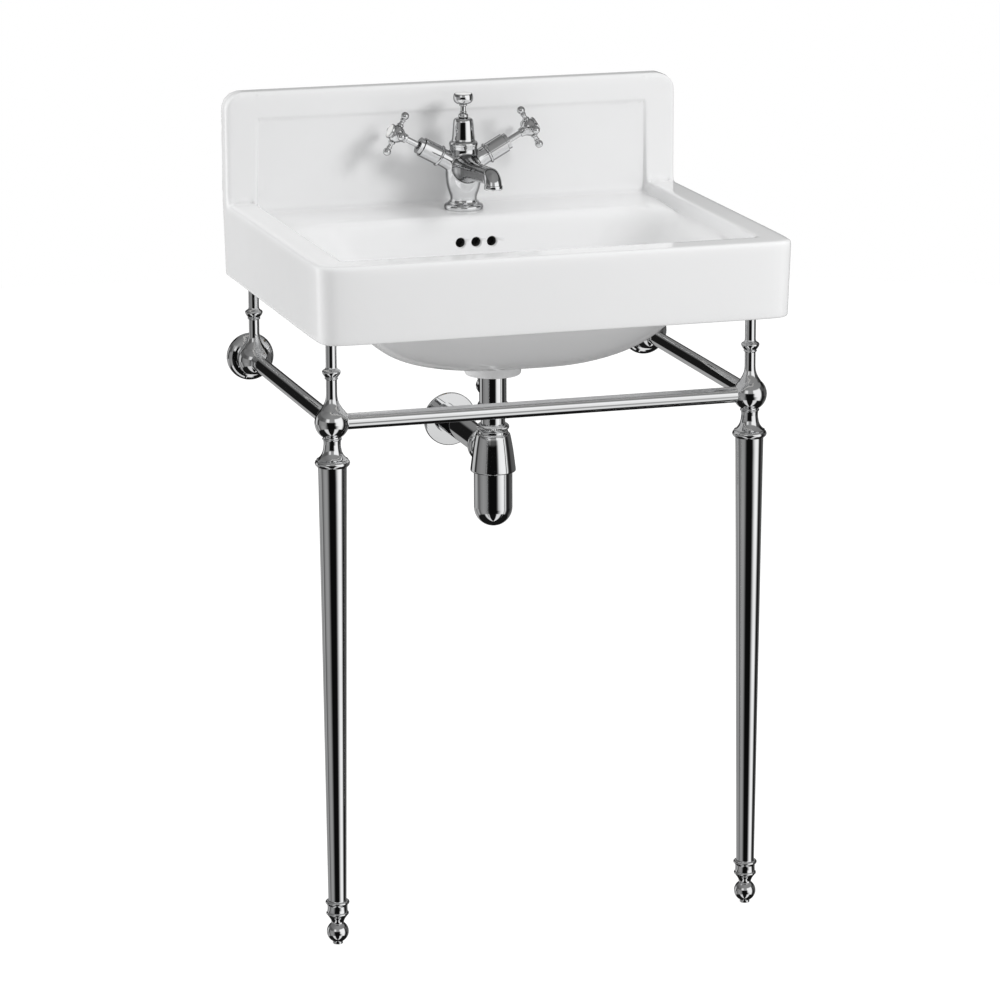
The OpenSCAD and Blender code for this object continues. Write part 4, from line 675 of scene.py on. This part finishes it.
# Tap body
# One brass casting, ground, polished and chromed: a goblet column with a turned base, two raised branches
# for the valves and a spout that opens into the column like a trumpet. It stands on a rubber ring.
TAP_Z = 824
ARM_Z = 872.3
ARM_TILT = 28.5
BRANCH_L = 37
BODY_H = 79
SPOUT_RISE = 4
SPOUT_REACH = 127
SPOUT_DROP = 1
SPOUT_R = 10.6
ELBOW_R = 13
NOZZLE_Z = 866.2
CAST_GRAIN = 0.9
POLISH_SHARE = 0.5
POLISH_ROUNDS = 12
COLUMN = [(0, 1), (18, 1), (18.2, 5), (17, 7.4), (16.4, 10), (16.6, 13), (17.6, 16.5), (19.2, 20.5),
          (20.6, 25.5), (21.6, 31), (22.2, 37), (22.4, 43), (22, 49), (20.8, 55), (19, 60.5), (17.6, 66),
          (16.8, 73), (16.8, 82), (0, 82)]
BRANCH = [(0, 0), (15, 0), (14.6, 8), (13.3, 15), (12, 20), (11.4, 25), (11.2, 31), (11.2, 36.5),
          (0, 36.5)]
TRUMPET = [(0, 0), (19, 0), (18.6, 14), (17.5, 20), (15.8, 26), (14, 34), (12.7, 44), (11.8, 58),
           (11.1, 78), (10.7, 100), (10.6, 113), (0, 113)]
BASE_PLATE = [(0, 0), (23.7, 0), (23.7, -1.8), (24.2, -1.8), (24.4, -1.4), (24.45, 1), (24.2, 2.4),
              (23.5, 3.6), (22.3, 4.4), (20.6, 5), (19.2, 6.2), (18.4, 7.4), (0, 7.4)]
SHOULDER_H = 2.8
SHOULDER = [(0, 0), (16.9, 0), (17.5, 0.5), (17.5, 2.2), (17, 2.8), (0, 2.8)]
NOZZLE = [(7.2, 6), (7.2, 0.5), (7.6, 0), (10.7, 0), (11.1, 0.5), (11.2, 4), (10.8, 5), (7.2, 6)]
CHROME = (0.9, 0.905, 0.91)
CHROME_CLOUD = (0.84, 0.845, 0.85)
# Painted reflection: how far and how dark the tap's chrome is painted towards its grazing edges, in place
# of mirrored black cards.
EDGE_SHADE = [(0.42, 0.0), (0.6, 0.85), (0.8, 0.75)]
PAINTED_EDGE_DARK = (0.04, 0.04, 0.042)

chrome = finish_of("chrome", size=22, tones=(CHROME, CHROME_CLOUD), rough=(0.015, 0.055),
                   bump=(0.05, 0.3), Metallic=1.0)


def chrome_with_painted_dark_edges():
    """The tap's chrome, with a painted dark reflection on its rounded edges: its colour darkens towards
    grazing, in place of the black cards that chrome would mirror.
    """
    made = finish_of("tap_chrome", size=30, tones=(CHROME, CHROME_CLOUD), rough=(0.015, 0.05),
                     bump=(0.05, 0.2), Metallic=1.0)
    tree = made.node_tree
    skin = tree.nodes["Principled BSDF"]
    facing = tree.nodes.new("ShaderNodeLayerWeight")
    facing.inputs["Blend"].default_value = 0.5
    edge = ramp(tree, facing.outputs["Facing"], EDGE_SHADE)
    pale = skin.inputs["Base Color"].links[0].from_socket
    tree.links.new(mixed(tree, edge, pale, PAINTED_EDGE_DARK), skin.inputs["Base Color"])
    return made


tap_chrome = chrome_with_painted_dark_edges()


def on_arm(side):
    """The place of a valve's centre line: the left side is hot, the right side is cold."""
    return (Matrix.Translation((0, TAP_Y, ARM_Z))
            @ Matrix.Rotation(side * math.radians(90 - ARM_TILT), 4, "Y"))


def half_round(r, z, h, steps=6):
    """The rounded edge of a turned ring, from its foot up."""
    turns = [math.pi * (k / steps - 0.5) for k in range(steps + 1)]
    return [(r - h / 2 + h / 2 * math.cos(a), z + h / 2 + h / 2 * math.sin(a)) for a in turns]


def flow(*points, steps=5):
    """A smooth run through points of an outline."""
    run = []
    for k in range(len(points) - 1):
        p0, p1, p2, p3 = (points[max(0, min(len(points) - 1, k + d))] for d in (-1, 0, 1, 2))
        for step in range(steps):
            t = step / steps
            run.append(tuple(
                0.5 * (2 * b + (c - a) * t + (2 * a - 5 * b + 4 * c - d) * t * t
                       + (3 * b - a - 3 * c + d) * t ** 3)
                for a, b, c, d in zip(p0, p1, p2, p3)))
    return run + [points[-1]]


def spout_end(shape):
    """The bend at the spout's end: a circle carried straight up, then round to meet the spout."""
    rise = math.radians(SPOUT_RISE)
    centre_y = TAP_Y - SPOUT_REACH + ELBOW_R
    top_z = ARM_Z + (TAP_Y - centre_y - ELBOW_R * math.sin(rise)) * math.tan(rise)
    centre_z = top_z - ELBOW_R * math.cos(rise)
    place = Matrix.Translation((0, centre_y - ELBOW_R, centre_z - SPOUT_DROP))
    ring = bmesh.ops.create_circle(shape, cap_ends=True, segments=40, radius=SPOUT_R,
                                   matrix=place)["verts"]
    face = ring[0].link_faces[0]
    straight = bmesh.ops.extrude_face_region(shape, geom=[face])["geom"]
    moved = [g for g in straight if isinstance(g, bmesh.types.BMVert)]
    bmesh.ops.translate(shape, vec=(0, 0, SPOUT_DROP), verts=moved)
    cap = [g for g in straight if isinstance(g, bmesh.types.BMFace)]
    bmesh.ops.spin(shape, geom=cap, cent=(0, centre_y, centre_z), axis=(1, 0, 0),
                   angle=-(math.pi / 2 + rise), steps=14, use_merge=False)


at_deck = Matrix.Translation((0, TAP_Y, TAP_Z))
shape = bmesh.new()
spun(shape, flow(*COLUMN, steps=3), at_deck)
for side in (-1, 1):
    spun(shape, BRANCH, on_arm(side))
spout_line = Matrix.Rotation(math.radians(90 - SPOUT_RISE), 4, "X")
spun(shape, TRUMPET, Matrix.Translation((0, TAP_Y, ARM_Z)) @ spout_line)
spout_end(shape)
tap = put("tap_casting", shape)
blend = tap.modifiers.new("cast", "REMESH")
blend.mode = "VOXEL"
blend.voxel_size = CAST_GRAIN * MM
polish = tap.modifiers.new("polish", "SMOOTH")
polish.factor = POLISH_SHARE
polish.iterations = POLISH_ROUNDS
settle(tap)
tap.data.materials.append(tap_chrome)
smooth(tap, 60)
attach(tap, "frame")
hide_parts("tap_body")

branch_ring = ([(0, BRANCH_L - 3.4), (12.2, BRANCH_L - 3.4)] + half_round(13.6, BRANCH_L - 3.2, 3.2)
               + [(12.2, BRANCH_L), (0, BRANCH_L)])
shape = bmesh.new()
spun(shape, BASE_PLATE, at_deck, steps=96)
spun(shape, SHOULDER, Matrix.Translation((0, TAP_Y, TAP_Z + BODY_H - SHOULDER_H)), steps=96)
for side in (-1, 1):
    spun(shape, branch_ring, on_arm(side))
spun(shape, NOZZLE, Matrix.Translation((0, TAP_Y - SPOUT_REACH, NOZZLE_Z)))
rings = put("tap_rings", shape, tap_chrome)
smooth(rings)
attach(rings, "frame")
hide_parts("tap_body")

# Small parts of the tap
# Chromed brass tubes cover the ceramic-disc valves, whose steel stems reach out to the handles. The
# flow straightener in the spout is white plastic, and the ring under the base is rubber.
BRASS = ((0.78, 0.57, 0.25), (0.68, 0.48, 0.2))
PLASTIC = ((0.84, 0.84, 0.83), (0.8, 0.8, 0.79))
RUBBER = ((0.03, 0.03, 0.032), (0.045, 0.045, 0.045))
STEEL = ((0.62, 0.62, 0.64), (0.5, 0.5, 0.53))

brass = finish_of("brass", size=40, tones=BRASS, rough=(0.22, 0.38), bump=(0.1, 0.2), Metallic=1.0)
white_plastic = finish_of("white_plastic", size=60, tones=PLASTIC, rough=(0.38, 0.5), bump=(0.1, 0.1))
rubber = finish_of("rubber", size=80, tones=RUBBER, rough=(0.6, 0.8), bump=(0.3, 0.2))
plated_steel = finish_of("plated_steel", size=60, tones=STEEL, rough=(0.28, 0.42), bump=(0.15, 0.15),
                         Metallic=1.0)


def dress(finish, *names):
    """Gives the finish to pieces that come straight from the engineering model."""
    for name in names:
        nodes[name].data.materials.clear()
        nodes[name].data.materials.append(finish)


dress(tap_chrome, "hot_shroud", "cold_shroud", "hot_spindle", "cold_spindle")
dress(brass, "hot_cartridge", "cold_cartridge")
dress(white_plastic, "aerator")
dress(rubber, "tap_gasket")

# Cross handles
# Each is turned and brazed brass under chrome: a coned neck, a round hub, four turned arms with ball
# ends, and a white ceramic disc set in a rim on the hub's face. A screw under the disc holds it.
HANDLE_L = 97.9
ARM_REACH = 24.4
BALL_R = 5
BALL_FROM = -60
HUB_FOOT = [(0, -14.6), (3.9, -14.6)]
HUB_SWELL = [(5.2, -14.6), (5.6, -14), (5.7, -12), (6.6, -9.4), (8.3, -7.2), (9.9, -4.8), (10.9, -1.8),
             (11, 1.4), (10.5, 3.6), (9.4, 5.1), (8.8, 5.8), (9.2, 6.4)]
HUB_FACE = [(9.4, 7.2), (9.4, 8.6), (9, 9.1), (8.5, 9), (8.4, 8.2), (0, 8.2)]
CROSS_ARM = [(0, 5), (3.9, 6), (3.9, 10), (4.4, 11), (4.4, 12.2), (3.6, 13), (2.9, 14), (2.7, 16),
             (3, 17.6), (3.5, 18.4), (3.4, 19.2), (2.8, 19.8)]
DISC = [(0, 8.25), (8.2, 8.25), (8.25, 8.9), (7.9, 9.6), (6.8, 10.2), (4, 10.65), (0, 10.8)]
INDEX_WHITE = ((0.92, 0.92, 0.91), (0.9, 0.9, 0.89))

index_ceramic = finish_of("index_ceramic", size=60, tones=INDEX_WHITE, rough=(0.06, 0.12),
                          bump=(0.05, 0.1))


def ball_outline(r, z, low=-90, high=90, steps=16):
    """Half the outline of a ball about a height, between two latitudes in degrees."""
    turns = [math.radians(low + (high - low) * k / steps) for k in range(steps + 1)]
    return [(max(r * math.cos(a), 0), z + r * math.sin(a)) for a in turns]


for side, name, mover in ((-1, "hot", "hot_valve"), (1, "cold", "cold_valve")):
    place = on_arm(side) @ Matrix.Translation((0, 0, HANDLE_L))
    arm_outline = flow(*CROSS_ARM, steps=2) + ball_outline(BALL_R, ARM_REACH, BALL_FROM)
    shape = bmesh.new()
    spun(shape, HUB_FOOT + flow(*HUB_SWELL, steps=3) + HUB_FACE, place)
    for quarter in range(4):
        turn = Matrix.Rotation(math.pi / 2 * quarter, 4, "Z")
        spun(shape, arm_outline, place @ turn @ Matrix.Rotation(math.pi / 2, 4, "Y"), steps=32)
    cross = put(name + "_cross", shape, tap_chrome)
    smooth(cross)
    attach(cross, mover)
    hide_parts(name + "_handle")
    shape = bmesh.new()
    spun(shape, DISC, place)
    disc = put(name + "_disc", shape, index_ceramic)
    smooth(disc)
    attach(disc, mover)
    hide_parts(name + "_index")

# Bell, gland and pull knob
# A turned bell hides where the lift rod enters the body, with a small gland on top. The knob is a turned
# cup with a white ceramic disc in its mouth, screwed on the rod that lifts the plug.
BELL_Z = 903
GLAND_Z = 934.6
KNOB_Z = 940.9
BELL = [(6, 0)] + half_round(16, 0, 3.6) + flow(
    (14.8, 3.9), (14.2, 6), (13.6, 12), (13, 20), (12.4, 27), steps=4) + flow(
    (12.2, 28.4), (11.4, 30.2), (10, 31.3), (8, 31.6), steps=3) + [(6, 31.6), (6, 0)]
GLAND = [(2.7, 0), (5, 0)] + flow(
    (5, 0.3), (6, 1.4), (6.2, 3), (5.7, 4.6), (4.4, 5.7), steps=3) + [(2.7, 6), (2.7, 0)]
KNOB = [(0, 0), (3.8, 0), (4.2, 0.5), (4.2, 1.3), (3.7, 2)] + flow(
    (3.5, 2.6), (3.4, 5), (3.5, 8.2), steps=2) + half_round(5, 8.5, 2.2) + flow(
    (4.4, 10.9), (7.8, 11.5), (10.5, 13.3), (12, 16), (12.4, 18.6), (12.2, 21), (11.5, 23.4), steps=4) + [
    (11, 24), (10.5, 23.9), (10.3, 23), (0, 23)]
KNOB_DISC = [(0, 23.05), (10.1, 23.05)] + flow(
    (10.1, 23.7), (9.4, 24.5), (6.8, 25.3), (3.4, 25.7), (0, 25.85), steps=3)

for name, outline, place_z, node, mover, finish, slot in (
        ("bell_cover", BELL, BELL_Z, "centre_bell", "frame", tap_chrome, "chrome"),
        ("gland_ring", GLAND, GLAND_Z, "bell_gland", "frame", tap_chrome, "chrome"),
        ("pull_knob", KNOB, KNOB_Z, "waste_knob", "lift", tap_chrome, "chrome"),
        ("pull_disc", KNOB_DISC, KNOB_Z, "knob_disc", "lift", index_ceramic, "index_ceramic")):
    shape = bmesh.new()
    spun(shape, outline, Matrix.Translation((0, TAP_Y, place_z)), steps=72)
    piece = put(name, shape, finish)
    smooth(piece)
    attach(piece, mover)
    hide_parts(node)

# Pop-up linkage, deck fixing and waste
# Behind the bowl the lift rod, a drilled strap and a pivot rod carry the pull down to the plug. The waste
# is chromed brass clamped through the ceramic, and a stud, plate and nut hold the tap from below.
dress(chrome, "lift_rod", "strap_screw", "waste_body", "pivot_nut", "plug")
dress(plated_steel, "lift_strap", "fixing_stud", "pivot_rod", "wall_plates")
dress(brass, "clamp_plate", "fixing_nut", "back_nut")
dress(rubber, "clamp_rubber", "upper_seal", "lower_seal", "plug_seal", "inlet_seal", "bottle_seal",
      "support_buffers")

# Trap
# A chromed brass bottle trap: the tail slides down into it through a knurled nut, the skirt hides the
# bottle's thread, and the arm runs back to the wall behind a flat cover plate.
SKIRT_Z = 516
SKIRT_TOP_Z = 560.7
OUTLET_Z = 541
SKIRT = [(23.85, 0), (27.2, 0), (27.8, 0.5), (28, 1.2), (27.9, 2.4)] + flow(
    (27.7, 4.5), (26.5, 14), (25.2, 24), (23.8, 33), (22.5, 40), (21.7, 44), (21, 46.4), steps=3) + [
    (20.2, 47.6), (19, 47.8), (18.8, 47.4), (18.8, 44.6), (15.5, 44.5), (15.5, 30), (23.85, 17.5),
    (23.85, 0)]
OUTLET = [(16, 20), (17.8, 20), (18, 20.4), (18, 39.6), (17.6, 40), (16, 40), (16, 20)]
INLET_NUT = [(15.3, 0), (18, 0), (18.5, 0.5), (18.5, 5.8), (18, 6.3), (17.4, 6.9)] + half_round(
    20.1, 7.2, 7.4) + [(17, 15), (15.3, 15), (15.3, 0)]
KNURLS = 60
KNURL_FROM_R = 19
KNURL_DEPTH = 0.45
KNURL_R = 20

dress(chrome, "tail_collar", "tailpipe", "trap_bottle", "outlet_nut", "outlet_arm", "outlet_flange")
shape = bmesh.new()
spun(shape, SKIRT, Matrix.Translation((0, WASTE_Y, SKIRT_Z)), steps=96)
spun(shape, OUTLET, Matrix.Translation((0, WASTE_Y, OUTLET_Z)) @ FACING_WALL)
skirt = put("trap_skirt", shape, chrome)
smooth(skirt)
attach(skirt, "frame")
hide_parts("trap_body")

shape = bmesh.new()
new = spun(shape, INLET_NUT, steps=2 * KNURLS)
for v in new:
    turn = round(math.atan2(v.co.y, v.co.x) / math.pi * KNURLS)
    if math.hypot(v.co.x, v.co.y) > KNURL_FROM_R and turn % 2 == 0:
        v.co.x *= 1 - KNURL_DEPTH / KNURL_R
        v.co.y *= 1 - KNURL_DEPTH / KNURL_R
bmesh.ops.transform(shape, matrix=Matrix.Translation((0, WASTE_Y, SKIRT_TOP_Z)), verts=new)
grip = put("inlet_grip", shape, chrome)
smooth(grip)
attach(grip, "frame")
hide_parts("trap_inlet_nut")

# Stand
# Chromed brass: tapered legs, turned heads, cut balls that take the rails, and spindles that rise to
# rubber caps under the ceramic. The rear balls sit in domed covers screwed to the wall.
STAND_X = 258.5
LEGS_Y = -160.5
REAR_Y = 210.2
NECK = [(0, 586), (18, 586)] + half_round(20.7, 586, 8.6) + flow(
    (18.6, 594.9), (16.2, 596.4), (13.6, 599.4), (11.6, 603.4), (10.5, 608), (10.1, 612.5), (10.3, 616.2),
    steps=4) + [(10.5, 617.6)] + half_round(11.6, 617.8, 2.6) + [(10.2, 620.6), (10.2, 622.4), (0, 622.4)]
SPINDLE = [(0, 653.2), (13.6, 653.2)] + flow(
    (13.7, 653.4), (11.9, 656.2), (10.1, 659), (8.6, 662), (7.4, 665.4), (6.7, 669), (6.45, 673),
    steps=4) + [(6.45, 689.6)] + half_round(8, 690, 2.4) + flow(
    (7.3, 692.6), (8.6, 694), (10.3, 696.6), (10.95, 698.6), steps=3) + flow(
    (10.95, 699.2), (10.1, 700.7), (8.2, 701.9), (6.9, 703.4), (6.5, 705.2), steps=3) + [
    (6.45, 744.2), (0, 744.2)]

dress(chrome, "left_leg", "right_leg", "front_balls", "rear_balls", "front_rail", "left_rail", "right_rail",
      "wall_rosettes")
for side, name in ((-1, "left"), (1, "right")):
    shape = bmesh.new()
    spun(shape, NECK, Matrix.Translation((side * STAND_X, LEGS_Y, 0)))
    head = put(name + "_neck", shape, chrome)
    smooth(head)
    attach(head, "frame")
    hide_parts(name + "_leg_head")
for y, name in ((LEGS_Y, "front"), (REAR_Y, "rear")):
    shape = bmesh.new()
    for side in (-1, 1):
        spun(shape, SPINDLE, Matrix.Translation((side * STAND_X, y, 0)))
    rods = put(name + "_knopped_rods", shape, chrome)
    smooth(rods)
    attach(rods, "frame")
    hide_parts(name + "_spindles")

# Feet
# A turned collar closes each leg, and the foot under it, a flared neck on a ball, screws in and out of
# the collar to level the basin.
COLLAR = [(5.2, 36), (11.8, 36)] + half_round(13.6, 36, 4.2) + flow(
    (12.3, 40.4), (12.05, 43), (12, 46), (12.2, 48.6), (12.8, 49.6), steps=3) + half_round(
    14.4, 49.6, 4.6) + [(11, 54.2), (5.2, 54.2), (5.2, 36)]
FOOT = [(0, 0), (5.6, 0), (6, 0.5), (6, 3.1)] + ball_outline(13.2, 15, -63, 54, 18)[1:] + flow(
    (7.6, 26), (7.7, 27.8), (8.4, 30), (9.8, 32.6), (11.2, 34.6), (11.8, 35.6), steps=3) + [(0, 35.6)]
FOOT_SCREW = [(0, 35.2), (5, 35.2), (5, 65), (4.4, 65.6), (0, 65.6)]

shape = bmesh.new()
for side in (-1, 1):
    spun(shape, COLLAR, Matrix.Translation((side * STAND_X, LEGS_Y, 0)))
collars = put("leg_collars", shape, chrome)
smooth(collars)
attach(collars, "frame")
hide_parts("foot_collars")
for side, name in ((-1, "left"), (1, "right")):
    place = Matrix.Translation((side * STAND_X, LEGS_Y, 0))
    shape = bmesh.new()
    spun(shape, FOOT, place)
    spun(shape, FOOT_SCREW, place, steps=32)
    foot = put(name + "_ball_foot", shape, chrome)
    smooth(foot)
    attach(foot, name + "_foot_body")
    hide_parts(name + "_foot")
